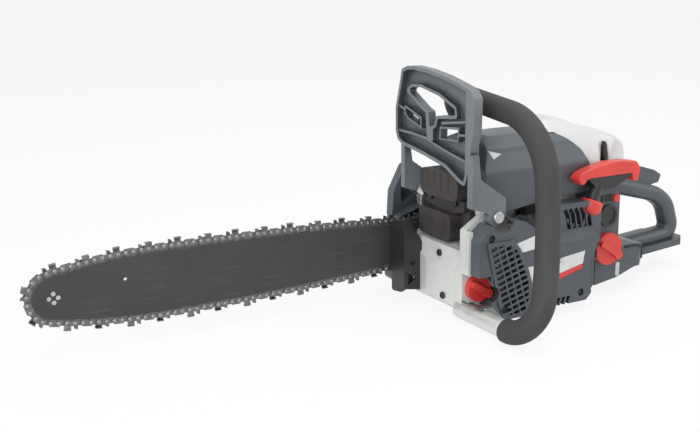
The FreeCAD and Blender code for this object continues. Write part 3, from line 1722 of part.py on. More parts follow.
def rear_handle():
    """Fuel tank and handle loop in one moulding."""
    loop = swept(loop_path(), loop_section())
    body = fused([tank_form(), loop, guard_plate()])
    cap_hole = rod_y(fuel_cap_x, fuel_cap_z, -tank_unit_left - cut_over,
                     -tank_unit_left + cap_stem_length + cover_wall,
                     fuel_cap_radius * cap_stem_radius_share + shaft_clearance)
    plug_hole = rod_y(side_plug_x, side_plug_z, -tank_unit_left - cut_over, -tank_unit_left + side_plug_depth,
                      side_plug_radius)
    window_bed = side_plate(window_outline(), -tank_unit_left - cut_over, -tank_unit_left + window_depth)
    body = body.cut(cap_hole).cut(plug_hole).cut(window_bed).cut(carb_pocket())
    body = body.cut(trigger_slot()).cut(lock_slot())
    switch_hole = block(switch_x - switch_length / 2, switch_x + switch_length / 2 + switch_travel,
                        -tank_unit_left - cut_over, -tank_unit_left + switch_depth, switch_z - switch_height / 2, switch_z + switch_height / 2)
    choke_hole = rod_y(choke_x, choke_z, -tank_unit_left - cut_over, -tank_unit_left + choke_stem * 2,
                       choke_radius + shaft_clearance)
    return body.cut(switch_hole).cut(choke_hole)


def carb_pocket():
    """Room in the front of the moulding for the carburettor's rear."""
    return block(tank_unit_front - cut_over, element_front + cover_wall, -carb_half_width - cover_wall,
                 carb_half_width + cover_wall, carb_bottom - cover_wall, column_top + cut_over)


def window_outline():
    return rectangle(window_x - window_width / 2, window_x + window_width / 2, window_z - window_length / 2,
                     window_z + window_length / 2)


def fuel_window():
    """Clear strip that shows the fuel level."""
    return side_plate(window_outline(), -tank_unit_left - window_depth * 0.2, -tank_unit_left + window_depth,
                      window_width * 0.3)


def side_plug():
    """Round rubber plug over the left spring mount."""
    body = rod_y(side_plug_x, side_plug_z, -tank_unit_left - cover_wall, -tank_unit_left + side_plug_depth,
                 side_plug_radius)
    dish = rod_y(side_plug_x, side_plug_z, -tank_unit_left - cover_wall - cut_over, -tank_unit_left - cover_wall / 2,
                 side_plug_radius * 0.75)
    return body.cut(dish)


def vibration_mounts():
    """Rubber buffers between the handle unit and the crankcase."""
    mounts = []
    for y in (-case_left * 0.6, case_left * 0.6):
        mounts.append(rod_x(y, crank_height - mount_radius, case_rear, tank_unit_front, mount_radius))
    return Part.makeCompound(mounts)


def trigger_outline(spread):
    x = trigger_pivot_x
    z = trigger_pivot_z
    return [
        (x - trigger_thickness * 0.6 - spread, z + trigger_thickness * 0.5 + spread),
        (x + trigger_length * 0.5 + spread, z + trigger_thickness * 0.2 + spread),
        (x + trigger_length * 0.75 + spread, z - trigger_drop * 0.3),
        (x + trigger_length * 0.5 + spread, z - trigger_drop * 0.65 - spread),
        (x + trigger_length * 0.3, z - trigger_drop - spread),
        (x + trigger_length * 0.12, z - trigger_drop - spread),
        (x + trigger_length * 0.1, z - trigger_drop * 0.6),
        (x - trigger_thickness * 0.6 - spread, z - trigger_thickness * 0.5 - spread),
    ]


def throttle_trigger():
    half = trigger_width / 2
    blade = side_plate(trigger_outline(0), -half, half, trigger_thickness * 0.15)
    pin = rod_y(trigger_pivot_x, trigger_pivot_z, -loop_width / 3, loop_width / 3, trigger_pin_radius)
    return blade.fuse(pin)


def trigger_slot():
    """Open channel under the top bar in which the trigger swings."""
    half = trigger_width / 2 + running_clearance * 2
    low = trigger_pivot_z - trigger_drop
    room = block(trigger_pivot_x - trigger_thickness * 2, trigger_pivot_x + trigger_length, -half, half, low,
                 trigger_pivot_z + trigger_thickness)
    pin = rod_y(trigger_pivot_x, trigger_pivot_z, -loop_width / 3 - shaft_clearance,
                loop_width / 3 + shaft_clearance, trigger_pin_radius + shaft_clearance)
    return room.fuse(pin)


def lock_pivot_z():
    """The lockout's pin lies inside the top bar."""
    share = (lock_pivot_x - loop_brow) / (loop_shoulder - loop_brow)
    return loop_top_front + share * (loop_top_rear - loop_top_front) + loop_thickness * 0.22


def lock_outline():
    z = lock_pivot_z()
    return [
        (lock_front, z - lock_thickness * 0.6),
        (lock_front, z + lock_thickness * 1.4),
        (lock_front + lock_thickness * 2, z + lock_height * 1.9),
        (lock_rear - lock_thickness * 2, z + lock_height * 1.35),
        (lock_rear, z + lock_height * 0.8),
        (lock_rear - lock_thickness * 0.6, z + lock_height * 0.1),
        (lock_pivot_x + lock_thickness * 1.4, z - lock_thickness * 0.6),
    ]


def throttle_lockout():
    half = lock_width / 2
    lever = side_plate(lock_outline(), -half, half, lock_thickness * 0.3)
    pin = rod_y(lock_pivot_x, lock_pivot_z(), -loop_width / 3, loop_width / 3, trigger_pin_radius)
    return lever.fuse(pin)


def lock_slot():
    half = lock_width / 2 + running_clearance * 2
    z = lock_pivot_z()
    room = block(lock_front - running_clearance * 2, lock_rear + lock_thickness, -half, half,
                 z - lock_thickness * 1.6, loop_top_front + loop_thickness)
    pin = rod_y(lock_pivot_x, z, -loop_width / 3 - shaft_clearance, loop_width / 3 + shaft_clearance,
                trigger_pin_radius + shaft_clearance)
    return room.fuse(pin)


def stop_switch():
    face = -tank_unit_left
    half_l = switch_length / 2 - running_clearance
    half_h = switch_height / 2 - running_clearance
    points = [
        (switch_x - half_l, face + switch_depth - running_clearance),
        (switch_x - half_l, face - cover_wall * 0.4),
        (switch_x, face),
        (switch_x + half_l, face - cover_wall),
        (switch_x + half_l, face + switch_depth - running_clearance),
    ]
    return top_plate(points, switch_z - half_h, switch_z + half_h)


def choke_knob():
    face = -tank_unit_left
    stem = rod_y(choke_x, choke_z, face, face + choke_stem, choke_radius)
    head = rod_y(choke_x, choke_z, face - choke_head_length, face, choke_head_radius)
    return stem.fuse(head)


# Front handle

def handle_foot_z():
    return sleeve_radius


def handle_points():
    return [
        V(-handle_foot_x, -handle_inner_y, handle_foot_z()),
        V(-handle_foot_x, -handle_low_y, handle_foot_z()),
        V(-handle_mid_x, -handle_mid_y, handle_mid_z),
        V(-handle_high_x, -handle_high_y, handle_high_z),
        V(-handle_right_x, handle_right_y, handle_right_z),
        V(-handle_leg_x, handle_leg_y, handle_leg_z),
        V(-handle_leg_x, handle_leg_y, handle_pad_top),
    ]


def handle_bends():
    return [handle_low_bend, handle_mid_bend, handle_high_bend, handle_right_bend, handle_leg_bend]


def front_handle_tube():
    points = handle_points()
    tube = round_sweep(path_wire(points, handle_bends()), points[0], V(0, 1, 0), tube_radius)
    return tube


def handle_grip():
    """Soft sleeve over the tube, from the lower left bend to the right shoulder."""
    points = handle_points()
    outer = round_sweep(path_wire(points, handle_bends()), points[0], V(0, 1, 0), sleeve_radius)
    foot = block(-handle_foot_x - tube_radius * 2, -handle_foot_x + tube_radius * 2, -sleeve_start_y, cut_over,
                 -cut_over, handle_foot_z() + tube_radius * 2)
    leg = block(-handle_right_x - tube_radius * 2, tube_radius * 2, 0, handle_leg_y + tube_radius * 2,
                handle_pad_top - cut_over, sleeve_end_z)
    return outer.cut(foot).cut(leg).cut(front_handle_tube())


# Front hand guard

guard_shares = [
    (0.00, 0.79), (0.01, 0.48), (0.035, 0.38), (0.04, 0.23), (0.10, 0.00), (0.18, 0.03), (0.34, 0.125),
    (0.63, 0.19), (0.91, 0.235), (0.975, 0.28), (1.00, 0.36), (1.00, 0.58), (0.95, 0.79), (0.915, 0.955),
    (0.84, 0.99), (0.75, 1.00), (0.56, 0.985), (0.36, 0.95), (0.17, 0.90), (0.05, 0.86),
]
big_opening_shares = [(0.235, 0.61), (0.245, 0.67), (0.44, 0.76), (0.67, 0.81), (0.79, 0.80), (0.835, 0.76),
                      (0.63, 0.625), (0.57, 0.60), (0.555, 0.45), (0.49, 0.49), (0.47, 0.575)]
pocket_shares = [(0.43, 0.37), (0.196, 0.38), (0.184, 0.515), (0.42, 0.485)]
window_shares = [(0.415, 0.38), (0.262, 0.39), (0.262, 0.475), (0.415, 0.46)]
diamond_shares = [(0.885, 0.615), (0.663, 0.535), (0.663, 0.425), (0.84, 0.49), (0.895, 0.535)]
slot_shares = [(0.86, 0.545), (0.76, 0.505), (0.766, 0.48), (0.86, 0.52)]
divider_shares = [(0.51, 0.34), (0.515, 0.60), (0.61, 0.60), (0.585, 0.34)]
rib_line_shares = [
    [(0.98, 0.375), (0.79, 0.375), (0.60, 0.36), (0.50, 0.325), (0.33, 0.28), (0.10, 0.23)],
    [(0.40, 0.53), (0.08, 0.59)],
    [(0.19, 0.455), (0.08, 0.47)],
    [(1.00, 0.625), (0.88, 0.585)],
]


def guard_points(shares):
    return on_shares(shares, -guard_left, guard_right, guard_low, guard_high)


def guard_field(shares, x_low, x_high, radius=0):
    return front_plate(guard_points(shares), x_low, x_high, radius)


def guard_rib(shares, width, height, radius):
    """Raised rim that follows an outline on its inner side."""
    front = -guard_face - height
    face = Part.Face(loop_wire([V(front, y, z) for y, z in guard_points(shares)], radius))
    inner = face.makeOffset2D(-width)
    return face.cut(inner).extrude(V(height, 0, 0))


def guard_outer_rim(shares):
    """Raised rim round an opening, on its outer side."""
    front = -guard_face - guard_rib_height * 0.8
    face = Part.Face(loop_wire([V(front, y, z) for y, z in guard_points(shares)], 0))
    outer = face.makeOffset2D(guard_rim * 0.8)
    return outer.extrude(V(guard_rib_height * 0.8, 0, 0))


def guard_line(shares):
    """Thin rib across the shield."""
    upper = guard_points(shares)
    lower = [(y, z - guard_rib_width) for y, z in reversed(upper)]
    return front_plate(upper + lower, -guard_face - guard_rib_height * 0.8, -guard_face)


def guard_side_band():
    """Broad flush edge on the left, down to the arm."""
    band = guard_field(guard_shares, -guard_face - guard_rib_height, -guard_face, guard_corner * 0.5)
    return band.common(block(-guard_face - guard_rib_height - cut_over, 0, -guard_left - cut_over,
                             -guard_left + guard_band, 0, guard_high + cut_over))


def guard_arm(y_low, y_high, top_share):
    """Side arm from the shield down to the pivot's boss."""
    x = -guard_pivot_x
    z = guard_pivot_z
    top = guard_low + top_share * (guard_high - guard_low)
    front = -guard_face - guard_rib_height
    points = [
        (-guard_face, top),
        (front, top),
        (front, z + guard_boss_radius * 1.1),
        (x - guard_boss_radius, z + guard_boss_radius * 0.45),
        (x, z),
        (x + guard_boss_radius, z + guard_boss_radius * 0.3),
        (x + guard_boss_radius, z + guard_boss_radius * 1.8),
        (-guard_face + guard_skin, guard_low + guard_boss_radius * 0.8),
    ]
    plate = side_plate(points, y_low, y_high, guard_rim * 0.5)
    boss = rod_y(x, z, y_low, y_high, guard_boss_radius)
    return plate.fuse(boss)


def hand_guard():
    """Ribbed shield: a thin skin, raised rims round its openings and cross ribs in front of it."""
    low_height = guard_rib_height * 0.8
    skin = guard_field(guard_shares, -guard_face, -guard_face + guard_skin, guard_corner * 0.5)
    ribs = [guard_rib(guard_shares, guard_rim, guard_rib_height, guard_corner * 0.5), guard_side_band()]
    ribs += [guard_rib(shares, guard_rib_width * 0.8, low_height, 0) for shares in (pocket_shares, diamond_shares)]
    ribs += [guard_line(shares) for shares in rib_line_shares]
    ribs += [guard_outer_rim(big_opening_shares), guard_field(divider_shares, -guard_face - low_height, -guard_face)]
    left_arm = guard_arm(-guard_arm_left - guard_arm_thickness, -guard_arm_left, 0.3)
    right_arm = guard_arm(guard_arm_right, guard_arm_right + guard_arm_right_thickness, 0.26)
    guard = fused([skin] + ribs + [left_arm, right_arm])
    front = -guard_face - guard_rib_height - cut_over
    for shares, radius in ((big_opening_shares, guard_rim * 0.6), (window_shares, 0), (slot_shares, 0)):
        guard = guard.cut(guard_field(shares, front, -guard_face + guard_skin + cut_over, radius))
    bore = rod_y(-guard_pivot_x, guard_pivot_z, -cover_face, clutch_face, guard_screw_radius + shaft_clearance)
    return guard.cut(bore)


def guard_pivot_screw():
    """Pivot screw on the left and its pin on the right."""
    outer = -guard_arm_left - guard_arm_thickness
    head = rod_y(-guard_pivot_x, guard_pivot_z, outer - screw_head_height, outer - shaft_clearance, guard_screw_head)
    shank = rod_y(-guard_pivot_x, guard_pivot_z, outer - shaft_clearance, -tank_left + spur_thickness,
                  guard_screw_radius)
    return head.fuse(shank)


def guard_pivot_pin():
    return rod_y(-guard_pivot_x, guard_pivot_z, guard_arm_right - running_clearance, clutch_face - cover_wall,
                 guard_screw_radius)


# Bumper plate

def bumper():
    """Curved shield in front of the crankcase, beside the bar, with a pierced web behind it."""
    face = front_plate([
        (bumper_left, bumper_bottom + cover_corner),
        (bumper_left + cover_corner, bumper_bottom + cover_wall),
        (bumper_right, bumper_bottom),
        (bumper_right, bumper_top - cover_wall * 2),
        (bumper_left, bumper_top),
    ], -bumper_front, -bumper_front + bumper_thickness, bumper_thickness)
    rear = -case_front + tank_ledge_depth
    web_points = [
        (-bumper_front, bumper_bottom + cover_corner),
        (rear, bumper_bottom + cover_corner * 0.5),
        (rear, bumper_top * 0.72),
        (-bumper_front + bumper_thickness * 2, bumper_top),
        (-bumper_front, bumper_top),
    ]
    web = side_plate(web_points, bumper_left, bumper_left + bumper_web)
    hole = rod_y((rear - bumper_front) / 2, crank_height * 0.75, bumper_left - cut_over, bumper_right, bumper_web)
    notch = side_plate([
        (-bumper_front + bumper_thickness * 1.6, bumper_bottom * 1.9),
        (-bumper_front + bumper_thickness * 4.6, bumper_bottom * 2.6),
        (-bumper_front + bumper_thickness * 1.6, bumper_bottom * 3.4),
    ], bumper_left - cut_over, bumper_right)
    plate = fused([face, web]).cut(hole).cut(notch)
    return plate.cut(tank_block())


# Clutch side

clutch_shares = [
    (0.00, 0.16), (0.00, 0.72), (0.03, 0.86), (0.30, 1.00), (0.86, 1.00), (1.00, 0.80), (1.00, 0.30),
    (0.82, 0.00), (0.34, 0.00), (0.12, 0.04),
]


def clutch_cover():
    """Right cover with the guard's pillar at its front."""
    points = on_shares(clutch_shares, -clutch_front, clutch_rear, 0, clutch_top)
    shell = side_shell(points, clutch_inner, clutch_face, clutch_corner, cover_wall)
    pillar = side_plate([
        (-clutch_front + clutch_corner * 0.4, clutch_top * 0.8),
        (-pillar_front, pillar_top * 0.8),
        (-(pillar_front + pillar_rear) / 2, pillar_top),
        (-pillar_rear, pillar_top * 0.97),
        (-pillar_rear, clutch_top * 0.95),
    ], pillar_inner, clutch_face, clutch_corner * 0.5)
    recess = side_plate([
        (-clutch_front + clutch_corner * 2.4, clutch_top * 0.96),
        (-pillar_front + clutch_corner * 1.4, pillar_top * 0.8),
        (-(pillar_front + pillar_rear) / 2 + clutch_corner * 0.4, pillar_top - clutch_corner * 0.8),
        (-pillar_rear - clutch_corner * 0.6, pillar_top - clutch_corner * 1.5),
        (-pillar_rear - clutch_corner * 0.6, clutch_top * 1.06),
    ], pillar_inner - cut_over, clutch_face - cover_wall)
    cover = fused([shell, pillar.cut(recess), clutch_pad()])
    for x, z in bar_studs_places():
        cover = cover.cut(rod_y(x, z, clutch_inner - cut_over, clutch_face + cut_over, stud_radius + shaft_clearance))
    pin = rod_y(-guard_pivot_x, guard_pivot_z, 0, clutch_face - cover_wall, guard_screw_radius)
    return cover.cut(pin)


def clutch_pad():
    """Inner boss that clamps the bar."""
    points = rectangle(-bar_slot_front, -stud_rear + nut_radius, crank_height - bar_pad_half_height * 0.7,
                       crank_height + bar_pad_half_height)
    return side_plate(points, bar_side + bar_thickness / 2, clutch_face - cover_wall)


def clutch_drum():
    """Cup of the centrifugal clutch."""
    cup = rod_y(0, crank_height, drum_inner, drum_outer, drum_radius)
    room = rod_y(0, crank_height, drum_inner + drum_wall, drum_outer + cut_over, drum_radius - drum_wall)
    bore = rod_y(0, crank_height, drum_inner - cut_over, drum_outer + cut_over, journal_radius + shaft_clearance)
    return cup.cut(room).cut(bore)


def drive_sprocket():
    """Seven-tooth spur that drives the chain, each tooth between two drive links."""
    tip = drive_radius - strap_foot
    root = drive_radius * math.cos(math.pi / (2 * sprocket_teeth)) - tang_depth - running_clearance
    points = []
    for k in range(sprocket_teeth):
        for part, radius in ((-0.38, root), (-0.12, tip), (0.12, tip), (0.38, root)):
            angle = (k + 0.5 + part) * 2 * math.pi / sprocket_teeth
            points.append((radius * math.cos(angle), crank_height + radius * math.sin(angle)))
    teeth = side_plate(points, bar_side - drive_gauge, bar_side + drive_gauge)
    hub = rod_y(0, crank_height, sprocket_inner, drum_inner, root - running_clearance)
    bore = rod_y(0, crank_height, 0, drum_outer, journal_radius + shaft_clearance)
    return teeth.fuse(hub).cut(bore)


def clutch_shoes():
    """Three centrifugal weights on their hub."""
    outer = drum_radius - drum_wall - shoe_gap
    low = drum_inner + drum_wall + running_clearance
    high = drum_outer - drum_wall
    disc = rod_y(0, crank_height, low, high, outer)
    for k in range(3):
        gap = block(shoe_hub, outer + cut_over, low - cut_over, high + cut_over, crank_height - shoe_slot / 2,
                    crank_height + shoe_slot / 2)
        gap.rotate(V(0, 0, crank_height), V(0, 1, 0), 120 * k + 30)
        disc = disc.cut(gap)
    return disc.cut(rod_y(0, crank_height, 0, crank_right_end + cut_over, journal_radius))


def brake_band():
    """Steel band round the drum, open at the front where its lever pulls."""
    low = (drum_inner + drum_outer - band_width) / 2
    inner = drum_radius + running_clearance
    band = ring_y(0, crank_height, low, low + band_width, inner + band_thickness, inner)
    gap = block(-inner - cut_over, -inner / 2, low - cut_over, low + band_width + cut_over, crank_height,
                crank_height + band_width)
    return band.cut(gap)


def oil_pump():
    """Pump body round the shaft, behind the sprocket."""
    body = block(-pump_half_length, pump_half_length, pump_left, pump_right, crank_height - pump_half_height,
                 crank_height + pump_half_height)
    return body.cut(rod_y(0, crank_height, 0, crank_right_end, journal_radius + shaft_clearance))


nodes = {
    "guide_bar": guide_bar,
    "nose_rivets": nose_rivets,
    "nose_sprocket": nose_sprocket,
    "drive_links": drive_links,
    "tie_straps": tie_straps,
    "cutters": cutters,
    "crankcase": crankcase,
    "bar_studs": bar_studs,
    "bar_nuts": bar_nuts,
    "tension_screw": tension_screw,
    "oil_cap": oil_cap,
    "fuel_cap": fuel_cap,
    "crankshaft": crankshaft,
    "piston": piston,
    "wrist_pin": wrist_pin,
    "connecting_rod": connecting_rod,
    "cylinder": cylinder,
    "spark_plug": spark_plug,
    "spark_plug_boot": spark_plug_boot,
    "flywheel": flywheel,
    "ignition_coil": ignition_coil,
    "recoil_pulley": recoil_pulley,
    "recoil_spring": recoil_spring,
    "starter_cover": starter_cover,
    "cover_screws": cover_screws,
    "rope_guide": rope_guide,
    "starter_rope": starter_rope,
    "starter_grip": starter_grip,
    "grip_core": grip_core,
    "muffler_body": muffler_body,
    "muffler_band": muffler_band_plate,
    "muffler_bolts": muffler_bolts,
    "heat_shield": heat_shield,
    "top_cover": top_cover,
    "air_filter_cover": air_filter_cover,
    "filter_latch": filter_latch,
    "air_filter": air_filter,
    "carburettor": carburettor,
    "intake_boot": intake_boot,
    "rear_handle": rear_handle,
    "fuel_window": fuel_window,
    "side_plug": side_plug,
    "vibration_mounts": vibration_mounts,
    "throttle_trigger": throttle_trigger,
    "throttle_lockout": throttle_lockout,
    "stop_switch": stop_switch,
    "choke_knob": choke_knob,
    "front_handle_tube": front_handle_tube,
    "handle_grip": handle_grip,
    "hand_guard": hand_guard,
    "guard_pivot_screw": guard_pivot_screw,
    "guard_pivot_pin": guard_pivot_pin,
    "bumper": bumper,
    "clutch_cover": clutch_cover,
    "clutch_drum": clutch_drum,
    "drive_sprocket": drive_sprocket,
    "clutch_shoes": clutch_shoes,
    "brake_band": brake_band,
    "oil_pump": oil_pump,
}

os.makedirs("parts", exist_ok=True)
for name, make in nodes.items():
    shape = make()
    shape.exportStep(f"parts/{name}.step")
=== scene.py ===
import json
import math

import bmesh
import bpy
import numpy as np
from mathutils import Matrix, Vector
from mathutils.bvhtree import BVHTree


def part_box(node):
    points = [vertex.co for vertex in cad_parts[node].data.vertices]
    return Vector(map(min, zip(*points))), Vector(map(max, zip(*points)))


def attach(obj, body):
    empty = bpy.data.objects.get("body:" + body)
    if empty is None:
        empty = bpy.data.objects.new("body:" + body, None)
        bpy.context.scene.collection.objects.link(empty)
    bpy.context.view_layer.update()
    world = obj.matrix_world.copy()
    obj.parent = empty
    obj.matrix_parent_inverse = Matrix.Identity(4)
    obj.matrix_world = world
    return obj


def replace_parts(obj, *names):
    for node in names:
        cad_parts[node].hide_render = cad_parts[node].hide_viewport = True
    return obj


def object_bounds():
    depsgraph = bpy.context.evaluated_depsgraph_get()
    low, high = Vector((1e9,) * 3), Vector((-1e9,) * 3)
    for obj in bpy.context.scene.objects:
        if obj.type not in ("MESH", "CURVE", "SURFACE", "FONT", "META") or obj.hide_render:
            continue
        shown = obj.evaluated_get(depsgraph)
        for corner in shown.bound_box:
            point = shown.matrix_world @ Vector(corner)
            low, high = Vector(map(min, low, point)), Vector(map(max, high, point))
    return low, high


# Petrol chainsaw, in metres.
# The bar points to -X, the operator's left is -Y and +Z is up.

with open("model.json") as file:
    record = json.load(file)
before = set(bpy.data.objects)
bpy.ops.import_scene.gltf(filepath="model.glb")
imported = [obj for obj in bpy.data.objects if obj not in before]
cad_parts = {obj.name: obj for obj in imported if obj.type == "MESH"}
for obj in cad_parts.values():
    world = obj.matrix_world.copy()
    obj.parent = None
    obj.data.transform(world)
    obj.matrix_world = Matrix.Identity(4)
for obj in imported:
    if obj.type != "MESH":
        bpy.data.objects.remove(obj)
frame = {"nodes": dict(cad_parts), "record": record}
cad_low, cad_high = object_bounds()
millimetre = 0.001
forward = Vector((-1, 0, 0))
leftward = Vector((0, -1, 0))


# Chain rivets.
# A drive link has a straight back that is one span long, give or take the slack.
# Its two rivets lie one crown inward of that back and one end in from its ends.
rivet_radius = 1.9 * millimetre
rivet_rise = 0.55 * millimetre
rivet_sides = 14
rivet_levels = 3
rivet_line_end = -105.0 * millimetre
link_crown = 2.31 * millimetre
link_end = 2.48 * millimetre
link_span = 13.2 * millimetre
link_slack = 0.25 * millimetre
weld_distance = 0.01 * millimetre

# Screw heads with star sockets.
# Caps lie on the heads of the larger screws and stay a little inside their rims.
head_sides = 36
head_bevel = 0.5 * millimetre
head_rise = 2.4 * millimetre
cap_rise = 0.6 * millimetre
cap_inset = 0.15 * millimetre
rim_depth = 0.05 * millimetre
socket_share = 0.48
socket_foot_share = 0.92
socket_level_share = 0.3
socket_lobes = 6
socket_wave_share = 0.16
tank_screw_radius = 4.0 * millimetre
tank_screw_shares = [(0.478, 0.534), (0.374, 0.184)]

# Plain patches, with outlines in shares of the node's length and height.
# The film stands out by its thickness and sinks in by its bed.
film_thickness = 0.12 * millimetre
film_bed = 0.05 * millimetre
film_cuts = 5
cast_reach = 300.0 * millimetre
label_shares = [(0.5917, 0.3600), (0.7722, 0.4190), (0.7875, 0.5430), (0.5925, 0.5090)]
label_band_shares = [(0.5913, 0.3017), (0.7662, 0.3699), (0.7722, 0.4180), (0.5917, 0.3590)]
stripe_shares = [(0.2649, 0.7258), (0.4162, 0.7789), (0.4162, 0.6487), (0.3065, 0.6315)]
wedge_shares = [(0.3514, 0.4816), (0.4135, 0.4764), (0.3892, 0.2888)]
notice_shares = [(0.060, 0.858), (0.168, 0.803), (0.092, 0.744)]

# Dark gasket round the tank's lobe, in shares of the rear handle's length and height
gasket_width = 3.0 * millimetre
gasket_rise = 1.3 * millimetre
gasket_step = 2.0 * millimetre
gasket_shares = [(0.240, 0.356), (0.344, 0.356), (0.387, 0.326), (0.451, 0.245), (0.451, 0.165)]

# Seal between the engine cover and the filter hood, as x and z in millimetres
seal_line = [(50.5, 185.5), (58.0, 178.0), (62.5, 172.0), (66.5, 165.0), (69.0, 158.5)]
seal_half_width = 5.0 * millimetre
seal_outer = -37.0 * millimetre
seal_inner = -33.0 * millimetre

# Rounding of the filter hood and the pull grip.
# The hood's skin stays put up to the hold distance from the top cover, and moves more and more
# over the fade distance beyond it.
hood_cell = 1.7 * millimetre
hood_rounds = 26
hood_hold = 1.5 * millimetre
hood_fade = 7.0 * millimetre
grip_cell = 0.8 * millimetre
grip_rounds = 12
relax_share = 0.5

# Rope bush, as distance along the rope and radius in millimetres.
# The line starts at the foot, runs round the outside and comes back down the bore.
bush_foot = 109.0 * millimetre
bush_sides = 48
bush_profile = [
    (-2.0, 4.2), (-2.0, 7.4), (-1.2, 9.4), (0.6, 11.2), (3.2, 12.5), (6.5, 13.1), (10.0, 13.0),
    (12.8, 12.5), (14.0, 11.7), (14.3, 10.6), (14.0, 9.4), (12.0, 7.6), (8.0, 4.2),
]

# Camera
camera_spot = Vector((-0.7393, -0.955, 0.3864))
camera_turn = math.radians(-28.93)
camera_tilt = math.radians(13.52)
camera_roll = math.radians(-0.75)
camera_lens = 54.0
camera_near = 0.05

# Studio lights: name, place, aim, width and height, power in watts
studio_lights = [
    ("light_left", (-1.7, -1.3, 1.4), (0, 0, 0.1), (1.4, 1.4), 20),
    ("light_front", (-1.6, -0.9, 0.35), (0, -0.05, 0.07), (0.7, 0.5), 7),
    ("light_above", (0.3, -0.2, 2.0), (0.05, 0, 0.1), (2.0, 1.4), 22),
    ("light_right", (1.6, -1.4, 0.9), (0, 0, 0.1), (1.0, 1.2), 9),
]
ambient_strength = 0.36
backdrop_strength = 1.0
floor_reach = 40.0
floor_evenness = 0.88

# Patterns that the finishes share
cloud_detail = 4.0
cloud_range = (0.3, 0.7)
gloss_range = (0.35, 0.65)
patch_detail = 3.0
patch_range = (0.38, 0.62)
rounding_samples = 6
# Painted shade that darkens the plastics in pockets and corners
pocket_shade_samples = 8
pocket_shade_reach = 26.0 * millimetre
pocket_shade_range = (0.55, 0.97)
plastic_rub_gain = 1.7
plastic_rub_lift = 0.012
casting_rub_gain = 1.25
strand_density = 420.0
strand_waver = 0.6
strand_shadow = 0.55
scratch_shadow = 0.6

# Colours, as linear shades
blue_grey = (0.074, 0.086, 0.099)
guard_grey = (0.155, 0.176, 0.192)
silver_paint = (0.70, 0.71, 0.69)
pale_grey = (0.68, 0.69, 0.68)
rubbed_shell = (0.74, 0.75, 0.74)
signal_red = (0.70, 0.052, 0.040)
soft_black = (0.018, 0.018, 0.019)
foam_grey = (0.045, 0.043, 0.043)
burnt_brown = (0.050, 0.045, 0.043)
rust_brown = (0.16, 0.12, 0.10)
bar_black = (0.042, 0.040, 0.041)
scuff_grey = (0.13, 0.125, 0.125)
bare_rail = (0.42, 0.42, 0.41)
chain_grey = (0.165, 0.163, 0.160)
bright_edge = (0.42, 0.41, 0.40)
rivet_grey = (0.30, 0.30, 0.29)
steel_grey = (0.52, 0.52, 0.52)
screw_black = (0.045, 0.044, 0.046)
browned_edge = (0.16, 0.155, 0.15)
alloy_grey = (0.50, 0.50, 0.50)
sheet_grey = (0.62, 0.62, 0.61)
felt_cream = (0.48, 0.44, 0.32)
milky_white = (0.62, 0.64, 0.62)
rope_cream = (0.56, 0.53, 0.46)
print_white = (0.70, 0.71, 0.71)
floor_white = (0.90, 0.90, 0.90)
backdrop_white = (1.0, 1.0, 1.0)
backdrop_far = (0.92, 0.92, 0.92)


# Node helpers

def scaled(colour, gain, lift=0.0):
    """Colour made paler or deeper, and kept below full white."""
    return tuple(min(c * gain + lift, 1) for c in colour)


